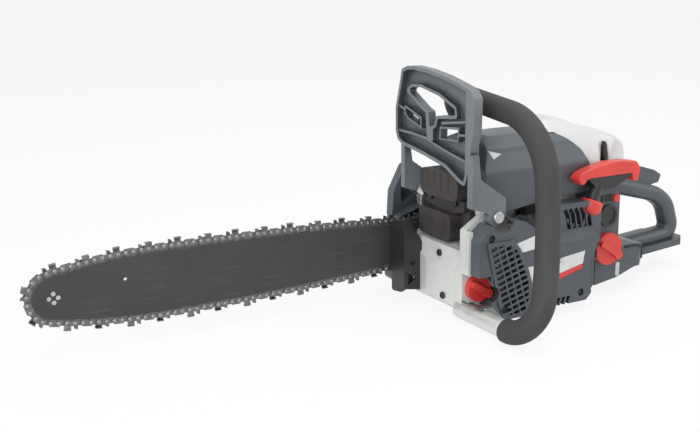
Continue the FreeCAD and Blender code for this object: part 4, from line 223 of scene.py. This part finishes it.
class Finish:
    """A node material in the making, with its tree, its shader and the place that patterns use."""

    def __init__(self, name, colour, roughness, metallic=0.0):
        self.material = bpy.data.materials.new(name)
        self.material.use_nodes = True
        self.tree = self.material.node_tree
        self.shader = self.tree.nodes["Principled BSDF"]
        self.place = self.node("ShaderNodeTexCoord").outputs["Object"]
        self.colour = self.shader.inputs["Base Color"]
        self.rough = self.shader.inputs["Roughness"]
        self.colour.default_value = (*colour, 1)
        self.rough.default_value = roughness
        self.shader.inputs["Metallic"].default_value = metallic
        self.shade = colour
        self.base_roughness = roughness

    def node(self, kind):
        return self.tree.nodes.new(kind)

    def link(self, source, target):
        self.tree.links.new(source, target)

    def noise(self, size, detail=2.0, stretch=(1, 1, 1)):
        """Cloudy pattern whose lumps are about that size, in metres."""
        mapping = self.node("ShaderNodeMapping")
        mapping.inputs["Scale"].default_value = stretch
        self.link(self.place, mapping.inputs["Vector"])
        texture = self.node("ShaderNodeTexNoise")
        texture.inputs["Scale"].default_value = 1 / size
        texture.inputs["Detail"].default_value = detail
        self.link(mapping.outputs["Vector"], texture.inputs["Vector"])
        return texture.outputs["Fac"]

    def ranged(self, value, low_in, high_in, low_out=0.0, high_out=1.0):
        """Value carried from one range to another and kept inside it."""
        ranging = self.node("ShaderNodeMapRange")
        self.link(value, ranging.inputs["Value"])
        ranging.inputs["From Min"].default_value = low_in
        ranging.inputs["From Max"].default_value = high_in
        ranging.inputs["To Min"].default_value = low_out
        ranging.inputs["To Max"].default_value = high_out
        return ranging.outputs["Result"]

    def mixed(self, share, first, second):
        """Blend of two colours; a colour is an output or a shade."""
        mixing = self.node("ShaderNodeMix")
        mixing.data_type = "RGBA"
        self.link(share, mixing.inputs["Factor"])
        for source, name in ((first, "A"), (second, "B")):
            socket = [s for s in mixing.inputs if s.name == name and s.type == "RGBA"][0]
            if isinstance(source, tuple):
                socket.default_value = (*source, 1)
            else:
                self.link(source, socket)
        return [s for s in mixing.outputs if s.type == "RGBA"][0]

    def product(self, first, second):
        multiplying = self.node("ShaderNodeMath")
        multiplying.operation = "MULTIPLY"
        self.link(first, multiplying.inputs[0])
        self.link(second, multiplying.inputs[1])
        return multiplying.outputs["Value"]

    def rounded_normal(self, radius):
        bevel = self.node("ShaderNodeBevel")
        bevel.samples = rounding_samples
        bevel.inputs["Radius"].default_value = radius
        return bevel.outputs["Normal"]

    def edge_share(self, radius, strength):
        """About 1 along sharp edges and 0 on flat faces."""
        geometry = self.node("ShaderNodeNewGeometry")
        dot = self.node("ShaderNodeVectorMath")
        dot.operation = "DOT_PRODUCT"
        self.link(self.rounded_normal(radius), dot.inputs[0])
        self.link(geometry.outputs["Normal"], dot.inputs[1])
        return self.ranged(dot.outputs["Value"], 1.0, 1.0 - strength)

    def painted_pocket_shade(self, shade, pocket_shade_depth):
        """Painted shade: the colour turns deeper inside pockets and corners, where less light reaches."""
        pocket_shade_node = self.node("ShaderNodeAmbientOcclusion")
        pocket_shade_node.samples = pocket_shade_samples
        pocket_shade_node.only_local = True
        pocket_shade_node.inputs["Distance"].default_value = pocket_shade_reach
        unshaded_share = self.ranged(pocket_shade_node.outputs["AO"], *pocket_shade_range)
        return self.mixed(unshaded_share, scaled(self.shade, pocket_shade_depth), shade)

    def bump(self, height, depth, radius):
        """Relief of a height pattern over normals that are rounded at the edges."""
        bumping = self.node("ShaderNodeBump")
        bumping.inputs["Strength"].default_value = 1.0
        bumping.inputs["Distance"].default_value = depth
        self.link(height, bumping.inputs["Height"])
        self.link(self.rounded_normal(radius), bumping.inputs["Normal"])
        self.link(bumping.outputs["Normal"], self.shader.inputs["Normal"])

    def vary(self, size, spread, rough_spread):
        """Slow change of shade and gloss over the surface."""
        cloud = self.noise(size, cloud_detail)
        dark = scaled(self.shade, 1 - spread)
        light = scaled(self.shade, 1 + spread)
        shade = self.mixed(self.ranged(cloud, *cloud_range), dark, light)
        rough_low = self.base_roughness - rough_spread
        rough_high = self.base_roughness + rough_spread
        self.link(self.ranged(cloud, *gloss_range, rough_low, rough_high), self.rough)
        self.link(shade, self.colour)
        return shade

    def wear(self, shade, worn, radius, strength, patch_size):
        """Rubbed edges, broken up by a patchy pattern."""
        edge = self.edge_share(radius, strength)
        patches = self.ranged(self.noise(patch_size, patch_detail), *patch_range)
        self.link(self.mixed(self.product(edge, patches), shade, worn), self.colour)


# Materials

def moulded_plastic(name, colour, roughness, grain=0.35 * millimetre, depth=0.05 * millimetre, pocket_shade_depth=1.0):
    """Moulded plastic with a fine spark-eroded grain, slightly paler rubbed edges and, where
    pocket_shade_depth is below 1, painted shade in pockets and corners.
    """
    finish = Finish(name, colour, roughness)
    shade = finish.vary(size=35 * millimetre, spread=0.07, rough_spread=0.06)
    # Painted shade in pockets and corners
    if pocket_shade_depth < 1:
        shade = finish.painted_pocket_shade(shade, pocket_shade_depth)
    paler = scaled(colour, plastic_rub_gain, plastic_rub_lift)
    finish.wear(shade, paler, radius=0.9 * millimetre, strength=0.25, patch_size=9 * millimetre)
    finish.bump(finish.noise(grain), depth, radius=0.5 * millimetre)
    return finish.material


def cast_paint(name, colour, metallic=0.2):
    """Silver-painted die casting: faint orange peel, sand texture and grime in patches."""
    finish = Finish(name, colour, roughness=0.42, metallic=metallic)
    shade = finish.vary(size=22 * millimetre, spread=0.06, rough_spread=0.07)
    paler = scaled(colour, casting_rub_gain)
    finish.wear(shade, paler, radius=0.8 * millimetre, strength=0.3, patch_size=6 * millimetre)
    finish.bump(finish.noise(1.1 * millimetre, detail=4.0), depth=0.10 * millimetre, radius=0.9 * millimetre)
    return finish.material


def brushed_metal(name, colour, roughness, stretch=(1, 1, 14)):
    """Bare metal with fine drawn lines and a thin oily cloudiness."""
    finish = Finish(name, colour, roughness, metallic=0.9)
    finish.vary(size=6 * millimetre, spread=0.16, rough_spread=0.10)
    lines = finish.noise(0.8 * millimetre, detail=3.0, stretch=stretch)
    finish.bump(lines, depth=0.03 * millimetre, radius=0.25 * millimetre)
    return finish.material


def chain_steel():
    """Oiled, browned chain steel with bright cutting edges."""
    finish = Finish("chain_steel", chain_grey, roughness=0.38, metallic=0.85)
    shade = finish.vary(size=4 * millimetre, spread=0.30, rough_spread=0.12)
    finish.wear(shade, bright_edge, radius=0.5 * millimetre, strength=0.35, patch_size=3 * millimetre)
    finish.bump(finish.noise(0.5 * millimetre, detail=3.0), depth=0.04 * millimetre, radius=0.3 * millimetre)
    return finish.material


def bar_paint():
    """Black satin bar paint with long rub marks along the bar and bare metal at the rails."""
    finish = Finish("bar_paint", bar_black, roughness=0.36, metallic=0.1)
    shade = finish.vary(size=45 * millimetre, spread=0.12, rough_spread=0.08)
    scuffs = finish.noise(2.2 * millimetre, detail=5.0, stretch=(0.05, 1, 1))
    scuff_share = finish.ranged(scuffs, low_in=0.60, high_in=0.74, high_out=0.35)
    scuffed = finish.mixed(scuff_share, shade, scuff_grey)
    finish.wear(scuffed, bare_rail, radius=1.0 * millimetre, strength=0.25, patch_size=5 * millimetre)
    finish.bump(finish.noise(0.7 * millimetre, detail=3.0), depth=0.03 * millimetre, radius=0.4 * millimetre)
    return finish.material


def foam_rubber(name, colour, grain=0.9 * millimetre, depth=0.14 * millimetre):
    """Matt rubber with open pores and paler dust."""
    finish = Finish(name, colour, roughness=0.72)
    finish.vary(size=28 * millimetre, spread=0.16, rough_spread=0.08)
    finish.bump(finish.noise(grain, detail=4.0), depth, radius=0.6 * millimetre)
    return finish.material


def burnt_paint():
    """Heat-proof paint, matt and slightly rusty on the sharp edges."""
    finish = Finish("burnt_paint", burnt_brown, roughness=0.62, metallic=0.25)
    shade = finish.vary(size=18 * millimetre, spread=0.22, rough_spread=0.10)
    finish.wear(shade, rust_brown, radius=1.0 * millimetre, strength=0.3, patch_size=5 * millimetre)
    finish.bump(finish.noise(0.6 * millimetre, detail=4.0), depth=0.08 * millimetre, radius=0.6 * millimetre)
    return finish.material


def gloss_shell():
    """Silver-white hood with a thin clear coat."""
    finish = Finish("gloss_shell", pale_grey, roughness=0.30)
    shade = finish.vary(size=60 * millimetre, spread=0.04, rough_spread=0.04)
    finish.wear(shade, rubbed_shell, radius=1.2 * millimetre, strength=0.3, patch_size=12 * millimetre)
    finish.shader.inputs["Coat Weight"].default_value = 0.25
    finish.shader.inputs["Coat Roughness"].default_value = 0.18
    finish.bump(finish.noise(2.0 * millimetre), depth=0.03 * millimetre, radius=0.8 * millimetre)
    return finish.material


def felt():
    """Fibrous filter fleece."""
    finish = Finish("filter_felt", felt_cream, roughness=0.9)
    finish.vary(size=5 * millimetre, spread=0.22, rough_spread=0.05)
    fibres = finish.noise(0.5 * millimetre, detail=6.0, stretch=(1, 1, 4))
    finish.bump(fibres, depth=0.30 * millimetre, radius=0.3 * millimetre)
    return finish.material


def milky_plastic():
    """Milky window that lets some light through."""
    finish = Finish("milky_window", milky_white, roughness=0.25)
    finish.vary(size=9 * millimetre, spread=0.06, rough_spread=0.05)
    finish.shader.inputs["Subsurface Weight"].default_value = 0.3
    finish.shader.inputs["Subsurface Scale"].default_value = 2 * millimetre
    finish.bump(finish.noise(1.2 * millimetre), depth=0.03 * millimetre, radius=0.4 * millimetre)
    return finish.material


def braided_rope():
    """Braid of slanted strands."""
    finish = Finish("braided_rope", rope_cream, roughness=0.85)
    wave = finish.node("ShaderNodeTexWave")
    wave.bands_direction = "DIAGONAL"
    wave.inputs["Scale"].default_value = strand_density
    wave.inputs["Distortion"].default_value = strand_waver
    finish.link(finish.place, wave.inputs["Vector"])
    strands = wave.outputs["Fac"]
    finish.link(finish.mixed(strands, scaled(rope_cream, strand_shadow), rope_cream), finish.colour)
    finish.bump(strands, depth=0.35 * millimetre, radius=0.3 * millimetre)
    return finish.material


def printed_film(name, colour):
    """Thin patch of plain colour, lightly scratched."""
    finish = Finish(name, colour, roughness=0.32)
    shade = finish.vary(size=8 * millimetre, spread=0.04, rough_spread=0.06)
    scratches = finish.noise(0.7 * millimetre, detail=4.0, stretch=(0.08, 1, 1))
    scratch_share = finish.ranged(scratches, low_in=0.66, high_in=0.74, high_out=0.5)
    finish.link(finish.mixed(scratch_share, shade, scaled(colour, scratch_shadow)), finish.colour)
    finish.bump(scratches, depth=0.02 * millimetre, radius=0.1 * millimetre)
    return finish.material


def dark_screw():
    """Blackened screw steel, slightly browned."""
    finish = Finish("dark_screw", screw_black, roughness=0.42, metallic=0.6)
    shade = finish.vary(size=3 * millimetre, spread=0.2, rough_spread=0.08)
    finish.wear(shade, browned_edge, radius=0.3 * millimetre, strength=0.3, patch_size=2 * millimetre)
    finish.bump(finish.noise(0.6 * millimetre, detail=3.0), depth=0.03 * millimetre, radius=0.2 * millimetre)
    return finish.material


def make_materials():
    """One material for each slot of the record."""
    return {
        "chain_steel": chain_steel(),
        "bar_steel": bar_paint(),
        "casting": cast_paint("silver_casting", silver_paint),
        "steel": brushed_metal("zinc_steel", steel_grey, roughness=0.32),
        "cap_red": moulded_plastic(
            "red_plastic", signal_red, roughness=0.34, grain=0.5 * millimetre, depth=0.03 * millimetre),
        # The body and guard plastics carry painted shade in their pockets and corners
        "body_plastic": moulded_plastic("body_plastic", blue_grey, roughness=0.38, pocket_shade_depth=0.5),
        "guard_plastic": moulded_plastic("guard_plastic", guard_grey, roughness=0.38, pocket_shade_depth=0.3),
        "filter_plastic": gloss_shell(),
        "dark_plastic": moulded_plastic("dark_plastic", soft_black, roughness=0.42),
        "grip_rubber": foam_rubber("grip_foam", foam_grey),
        "muffler_metal": burnt_paint(),
        "bright_sheet": brushed_metal("bright_sheet", sheet_grey, roughness=0.30, stretch=(1, 14, 1)),
        "engine_alloy": cast_paint("engine_alloy", alloy_grey, metallic=0.75),
        "tube_metal": cast_paint("tube_metal", silver_paint, metallic=0.5),
        "rubber_black": foam_rubber(
            "black_rubber", soft_black, grain=0.5 * millimetre, depth=0.05 * millimetre),
        "filter_felt": felt(),
        "clear_window": milky_plastic(),
        "rope": braided_rope(),
    }


def dress(node, material):
    """Puts one material on a node."""
    slots = frame["nodes"][node].data.materials
    slots.clear()
    slots.append(material)


# Mesh helpers

def add_piece(name, mesh, material, body="saw"):
    """Piece of one mesh and one material that rides on a body."""
    piece = bpy.data.objects.new(name, mesh)
    bpy.context.scene.collection.objects.link(piece)
    mesh.materials.append(material)
    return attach(piece, body)


def mesh_from(build, name, smooth=True):
    """Mesh that a function fills."""
    shape = bmesh.new()
    build(shape)
    bmesh.ops.recalc_face_normals(shape, faces=shape.faces)
    mesh = bpy.data.meshes.new(name)
    shape.to_mesh(mesh)
    shape.free()
    for face in mesh.polygons:
        face.use_smooth = smooth
    return mesh


def bridge(shape, rings):
    """Bands of faces from each ring of corners to the next."""
    for low, high in zip(rings, rings[1:]):
        for step in range(len(low)):
            following = (step + 1) % len(low)
            shape.faces.new((low[step], low[following], high[following], high[step]))


def add_strip(shape, rows):
    """Closed strip through rows of four corners."""
    bridge(shape, rows)
    shape.faces.new(rows[0])
    shape.faces.new(rows[-1][::-1])


def islands(node):
    """Corner points of each separate solid of a node."""
    shape = bmesh.new()
    shape.from_mesh(frame["nodes"][node].data)
    bmesh.ops.remove_doubles(shape, verts=shape.verts, dist=weld_distance)
    shape.verts.index_update()
    reached = set()
    found = []
    for start in shape.verts:
        if start.index in reached:
            continue
        reached.add(start.index)
        waiting = [start]
        group = []
        while waiting:
            vert = waiting.pop()
            group.append(vert.co.copy())
            for edge in vert.link_edges:
                other = edge.other_vert(vert)
                if other.index not in reached:
                    reached.add(other.index)
                    waiting.append(other)
        found.append(group)
    shape.free()
    return found


class Surface:
    """Outside of a node, for laying things on it."""

    def __init__(self, node):
        source = frame["nodes"][node]
        self.tree = BVHTree.FromObject(source, bpy.context.evaluated_depsgraph_get())
        self.low, self.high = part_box(node)

    def on_left(self, x, z):
        """Outermost place on the left side at x and z."""
        return self.tree.ray_cast(Vector((x, -cast_reach, z)), Vector((0, 1, 0)))[0]

    def on_front(self, y, z):
        """Foremost place at y and z."""
        return self.tree.ray_cast(Vector((-cast_reach, y, z)), Vector((1, 0, 0)))[0]

    def side_point(self, shares):
        """x and z at shares of the node's length and height."""
        x_share, z_share = shares
        x = self.low.x + (self.high.x - self.low.x) * x_share
        z = self.low.z + (self.high.z - self.low.z) * z_share
        return x, z

    def front_point(self, shares):
        """y and z at shares of the node's width and height."""
        y_share, z_share = shares
        y = self.low.y + (self.high.y - self.low.y) * y_share
        z = self.low.z + (self.high.z - self.low.z) * z_share
        return y, z


# Chain rivets

def add_dome(shape, centre, side):
    """Low rivet head on a plane square to Y; side is -1 or 1."""
    rings = []
    for level in range(rivet_levels):
        turn = math.pi / 2 * level / rivet_levels
        radius = rivet_radius * math.cos(turn)
        y = centre.y + side * rivet_rise * math.sin(turn)
        ring = []
        for step in range(rivet_sides):
            angle = 2 * math.pi * step / rivet_sides
            spot = (centre.x + radius * math.cos(angle), y, centre.z + radius * math.sin(angle))
            ring.append(shape.verts.new(spot))
        rings.append(ring)
    top = shape.verts.new((centre.x, centre.y + side * rivet_rise, centre.z))
    bridge(shape, rings)
    for step in range(rivet_sides):
        shape.faces.new((rings[-1][step], rings[-1][(step + 1) % rivet_sides], top))


def link_rivets():
    """Place of both rivets of every drive link, from the straight back of the link."""
    places = []
    for group in islands("drive_links"):
        mean_y = sum(p.y for p in group) / len(group)
        near_side = [p for p in group if p.y < mean_y]
        pairs = [(a, b) for a in near_side for b in near_side if abs((a - b).length - link_span) < link_slack]
        middle = sum(near_side, Vector()) / len(near_side)
        back = max(pairs, key=lambda pair: ((pair[0] + pair[1]) / 2 - middle).length)
        along = (back[1] - back[0]).normalized()
        centre = (back[0] + back[1]) / 2
        inward = (middle - centre) - along * (middle - centre).dot(along)
        half = (back[1] - back[0]).length / 2 - link_end
        line = centre + inward.normalized() * link_crown
        for sense in (-1, 1):
            places.append(line + along * sense * half)
    return places


def add_rivets(material):
    """Peened rivet heads on both faces of the chain, up to where the covers hide it."""
    straps_low, straps_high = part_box("tie_straps")

    def build(shape):
        for place in link_rivets():
            if place.x > rivet_line_end:
                continue
            for side, face in ((-1, straps_low.y), (1, straps_high.y)):
                add_dome(shape, Vector((place.x, face, place.z)), side)

    return add_piece("chain_rivets", mesh_from(build, "chain_rivets"), material)


# Screw heads

def add_socket_head(shape, centre, outward, radius, rise):
    """Round screw head with a star socket; centre lies on the seat."""
    across = outward.cross(Vector((0, 0, 1))).normalized()
    upward = across.cross(outward)
    socket_radius = radius * socket_share
    levels = [
        (radius, 0, 0),
        (radius, rise - head_bevel, 0),
        (radius - head_bevel, rise, 0),
        (socket_radius, rise, socket_wave_share),
        (socket_radius * socket_foot_share, rise * socket_level_share, socket_wave_share),
    ]
    rings = []
    for ring_radius, height, wave in levels:
        ring = []
        for step in range(head_sides):
            angle = 2 * math.pi * step / head_sides
            reach = ring_radius * (1 + wave * math.cos(socket_lobes * angle))
            around = across * reach * math.cos(angle) + upward * reach * math.sin(angle)
            ring.append(shape.verts.new(centre + around + outward * height))
        rings.append(ring)
    bridge(shape, rings)
    shape.faces.new(rings[0][::-1])
    shape.faces.new(rings[-1])


def head_seats(node, outward):
    """Middle and radius of the outer end of each separate screw of a node."""
    seats = []
    for group in islands(node):
        end = max(point.dot(outward) for point in group)
        rim = [point for point in group if point.dot(outward) > end - rim_depth]
        low = Vector(min(point[axis] for point in rim) for axis in range(3))
        high = Vector(max(point[axis] for point in rim) for axis in range(3))
        seats.append(((low + high) / 2, max(high - low) / 2))
    return seats


def add_socket_caps(name, node, outward, material):
    """Star sockets on the screws of a node, as thin caps on their heads."""

    def build(shape):
        for seat, radius in head_seats(node, outward):
            add_socket_head(shape, seat, outward, radius - cap_inset, cap_rise)

    return add_piece(name, mesh_from(build, name, smooth=False), material)


def add_tank_screws(material):
    """Dark screws on the front of the crankcase."""
    surface = Surface("crankcase")

    def build(shape):
        for shares in tank_screw_shares:
            seat = surface.on_front(*surface.front_point(shares))
            add_socket_head(shape, seat, forward, tank_screw_radius, head_rise)

    return add_piece("tank_screws", mesh_from(build, "tank_screws", smooth=False), material)


# Plain patches

def add_film(shape, surface, shares):
    """Thin patch laid on a node's left side."""
    flat = bmesh.new()
    corners = [surface.side_point(pair) for pair in shares]
    flat.faces.new([flat.verts.new((x, 0, z)) for x, z in corners])
    bmesh.ops.triangulate(flat, faces=flat.faces)
    bmesh.ops.subdivide_edges(flat, edges=flat.edges, cuts=film_cuts, use_grid_fill=True)
    bmesh.ops.triangulate(flat, faces=flat.faces)
    outer = {}
    inner = {}
    for vert in flat.verts:
        hit = surface.on_left(vert.co.x, vert.co.z)
        outer[vert] = shape.verts.new((hit.x, hit.y - film_thickness, hit.z))
        inner[vert] = shape.verts.new((hit.x, hit.y + film_bed, hit.z))
    for face in flat.faces:
        shape.faces.new([outer[vert] for vert in face.verts])
        shape.faces.new([inner[vert] for vert in reversed(face.verts)])
    for edge in flat.edges:
        if edge.is_boundary:
            first, second = edge.verts
            shape.faces.new((outer[first], outer[second], inner[second], inner[first]))
    flat.free()


def add_patches(name, node, outlines, material):
    """Patches of one colour on one node."""
    surface = Surface(node)

    def build(shape):
        for shares in outlines:
            add_film(shape, surface, shares)

    return add_piece(name, mesh_from(build, name, smooth=False), material)


# Gasket and seal

def add_tank_gasket(material):
    """Dark gasket that stands proud of the tank, towards its left and its rear."""
    surface = Surface("rear_handle")
    corners = [Vector((x, 0, z)) for x, z in (surface.side_point(pair) for pair in gasket_shares)]
    rise = Vector((gasket_rise, -gasket_rise, 0))

    def build(shape):
        for first, second in zip(corners, corners[1:]):
            along = (second - first).normalized()
            beside = Vector((-along.z, 0, along.x)) * gasket_width / 2
            steps = round((second - first).length / gasket_step)
            rows = []
            for step in range(steps + 1):
                spot = first.lerp(second, step / steps)
                near, far = (surface.on_left(p.x, p.z) for p in (spot - beside, spot + beside))
                section = (near - rise, near + rise, far + rise, far - rise)
                rows.append([shape.verts.new(p) for p in section])
            add_strip(shape, rows)

    return add_piece("tank_seam", mesh_from(build, "tank_seam"), material)


def add_cover_seal(material):
    """Dark rubber strip behind the seam of the engine cover and the filter hood."""
    spots = [Vector((x, 0, z)) * millimetre for x, z in seal_line]

    def build(shape):
        rows = []
        for number, spot in enumerate(spots):
            before = spots[max(number - 1, 0)]
            after = spots[min(number + 1, len(spots) - 1)]
            along = (after - before).normalized()
            beside = Vector((-along.z, 0, along.x)) * seal_half_width
            low = spot - beside
            high = spot + beside
            section = ((low, seal_outer), (high, seal_outer), (high, seal_inner), (low, seal_inner))
            rows.append([shape.verts.new((p.x, y, p.z)) for p, y in section])
        add_strip(shape, rows)

    return add_piece("cover_seal", mesh_from(build, "cover_seal", smooth=False), material)


# Rounded forms

def freedom(spots, neighbour):
    """0 for places near another node's surface, rising to 1 a little way off."""
    if neighbour is None:
        return np.ones((len(spots), 1))
    tree = Surface(neighbour).tree
    gaps = np.array([tree.find_nearest(Vector(spot))[3] for spot in spots])
    return np.clip((gaps - hood_hold) / hood_fade, 0, 1)[:, None]


def even_mesh(name, node, cell):
    """Copy of a node's mesh whose skin is laid on an even grid."""
    draft = bpy.data.objects.new(name, frame["nodes"][node].data.copy())
    bpy.context.scene.collection.objects.link(draft)
    grid = draft.modifiers.new("grid", "REMESH")
    grid.mode = "VOXEL"
    grid.voxel_size = cell
    mesh = bpy.data.meshes.new_from_object(draft.evaluated_get(bpy.context.evaluated_depsgraph_get()))
    bpy.data.objects.remove(draft)
    mesh.name = name
    mesh.materials.clear()
    return mesh


def relax(mesh, rounds, neighbour):
    """Draws each corner towards the middle of those around it, which rounds the edges.
    Where the mesh meets the neighbour it stays put, so that their seam stays closed."""
    spots = np.empty(len(mesh.vertices) * 3)
    mesh.vertices.foreach_get("co", spots)
    spots = spots.reshape(-1, 3)
    ends = np.empty(len(mesh.edges) * 2, int)
    mesh.edges.foreach_get("vertices", ends)
    first, second = ends.reshape(-1, 2).T
    count = np.bincount(ends, minlength=len(spots))[:, None]
    share = freedom(spots, neighbour) * relax_share
    for _ in range(rounds):
        total = np.zeros_like(spots)
        np.add.at(total, first, spots[second])
        np.add.at(total, second, spots[first])
        spots += (total / count - spots) * share
    mesh.vertices.foreach_set("co", spots.ravel())
    mesh.update()


def soften(name, node, material, cell, rounds, body="saw", neighbour=None):
    """Moulded form of a node, with its edges rounded."""
    mesh = even_mesh(name, node, cell)
    relax(mesh, rounds, neighbour)
    for face in mesh.polygons:
        face.use_smooth = True
    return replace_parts(add_piece(name, mesh, material, body), node)


def add_rope_bush(material):
    """Rounded bush where the rope leaves the cover; its rings follow the rope's line."""
    rope_low, rope_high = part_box("starter_rope")
    along = Vector((rope_high.x - rope_low.x, 0, rope_high.z - rope_low.z)).normalized()
    middle = (rope_low + rope_high) / 2
    foot = middle + along * ((bush_foot - middle.z) / along.z)
    beside = Vector((0, 1, 0))
    across = along.cross(beside)

    def build(shape):
        rings = []
        for distance, radius in bush_profile:
            ring = []
            for step in range(bush_sides):
                angle = 2 * math.pi * step / bush_sides
                reach = beside * math.cos(angle) + across * math.sin(angle)
                spot = foot + along * distance * millimetre + reach * radius * millimetre
                ring.append(shape.verts.new(spot))
            rings.append(ring)
        bridge(shape, rings + rings[:1])

    bush = add_piece("rope_bush", mesh_from(build, "rope_bush"), material)
    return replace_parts(bush, "rope_guide")


# Camera, light and floor

def make_camera():
    """View from the front left, a little above the saw."""
    camera = bpy.data.objects.new("camera", bpy.data.cameras.new("camera"))
    bpy.context.scene.collection.objects.link(camera)
    camera.data.lens = camera_lens
    camera.data.clip_start = camera_near
    turn = Matrix.Rotation(camera_turn, 4, "Z")
    tilt = Matrix.Rotation(math.pi / 2 - camera_tilt, 4, "X")
    roll = Matrix.Rotation(camera_roll, 4, "Z")
    camera.matrix_world = Matrix.Translation(camera_spot) @ turn @ tilt @ roll
    bpy.context.scene.camera = camera


def add_light(name, spot, aim, size, power):
    """Soft rectangular light that faces its aim."""
    data = bpy.data.lights.new(name, "AREA")
    data.shape = "RECTANGLE"
    data.size, data.size_y = size
    data.energy = power
    lamp = bpy.data.objects.new(name, data)
    bpy.context.scene.collection.objects.link(lamp)
    lamp.location = spot
    lamp.rotation_euler = (Vector(aim) - Vector(spot)).to_track_quat("-Z", "Y").to_euler()


def backdrop_share(tree):
    """1 for rays that show the backdrop: from the camera, off gloss or through a clear part."""
    path = tree.nodes.new("ShaderNodeLightPath")
    share = path.outputs["Is Camera Ray"]
    for kind in ("Is Glossy Ray", "Is Transmission Ray"):
        larger = tree.nodes.new("ShaderNodeMath")
        larger.operation = "MAXIMUM"
        tree.links.new(share, larger.inputs[0])
        tree.links.new(path.outputs[kind], larger.inputs[1])
        share = larger.outputs["Value"]
    return share


def floor_finish():
    """Pale floor that keeps the object's shadow and runs evenly into the backdrop."""
    finish = Finish("floor", floor_white, roughness=0.8)
    finish.vary(size=0.5, spread=0.01, rough_spread=0.02)
    even = finish.node("ShaderNodeEmission")
    even.inputs["Color"].default_value = (*backdrop_white, 1)
    blend = finish.node("ShaderNodeMixShader")
    share = finish.ranged(backdrop_share(finish.tree), 0, 1, high_out=floor_evenness)
    finish.link(share, blend.inputs["Fac"])
    finish.link(finish.shader.outputs["BSDF"], blend.inputs[1])
    finish.link(even.outputs["Emission"], blend.inputs[2])
    finish.link(blend.outputs["Shader"], finish.tree.nodes["Material Output"].inputs["Surface"])
    return finish.material


def make_world():
    """Plain pale surroundings that light the shadows softly."""
    world = bpy.data.worlds.new("studio")
    bpy.context.scene.world = world
    world.use_nodes = True
    nodes = world.node_tree.nodes
    links = world.node_tree.links
    lit = nodes["Background"]
    lit.inputs["Color"].default_value = (*backdrop_white, 1)
    lit.inputs["Strength"].default_value = ambient_strength
    seen = nodes.new("ShaderNodeBackground")
    seen.inputs["Color"].default_value = (*backdrop_far, 1)
    seen.inputs["Strength"].default_value = backdrop_strength
    blend = nodes.new("ShaderNodeMixShader")
    links.new(backdrop_share(world.node_tree), blend.inputs["Fac"])
    links.new(lit.outputs["Background"], blend.inputs[1])
    links.new(seen.outputs["Background"], blend.inputs[2])
    links.new(blend.outputs["Shader"], nodes["World Output"].inputs["Surface"])


def make_floor():
    """Floor under the saw that runs far out."""
    mesh = bpy.data.meshes.new("floor")
    corners = [(-1, -1), (1, -1), (1, 1), (-1, 1)]
    mesh.from_pydata([(x * floor_reach, y * floor_reach, 0) for x, y in corners], [], [(0, 1, 2, 3)])
    mesh.materials.append(floor_finish())
    ground = bpy.data.objects.new("floor", mesh)
    bpy.context.scene.collection.objects.link(ground)
    ground.location.z = cad_low.z


# Put together

materials = make_materials()
dark_steel = dark_screw()
pale_print = printed_film("pale_print", print_white)
red_print = printed_film("red_print", signal_red)

for part in frame["record"]["subparts"]:
    dress(part["node"], materials[part["material_slot"]])
for node in ("cover_screws", "muffler_bolts"):
    dress(node, dark_steel)

add_rivets(brushed_metal("rivet_steel", rivet_grey, roughness=0.42))
starter_outlines = (label_shares, stripe_shares, wedge_shares)
add_patches("cover_patches", "starter_cover", starter_outlines, pale_print)
add_patches("label_band", "starter_cover", (label_band_shares,), red_print)
add_patches("top_patch", "top_cover", (notice_shares,), pale_print)
add_tank_screws(materials["dark_plastic"])
add_tank_gasket(materials["rubber_black"])
add_socket_caps("cover_sockets", "cover_screws", leftward, dark_steel)
add_socket_caps("muffler_sockets", "muffler_bolts", forward, dark_steel)
add_socket_caps("guard_socket", "guard_pivot_screw", leftward, materials["steel"])
soften("filter_hood", "air_filter_cover", materials["filter_plastic"],
       hood_cell, hood_rounds, neighbour="top_cover")
soften("grip_bar", "starter_grip", materials["cap_red"],
       grip_cell, grip_rounds, body="pull_grip")
add_rope_bush(materials["cap_red"])
add_cover_seal(materials["rubber_black"])

make_camera()
for light in studio_lights:
    add_light(*light)
make_world()
make_floor()
bpy.context.scene.view_settings.view_transform = "Standard"
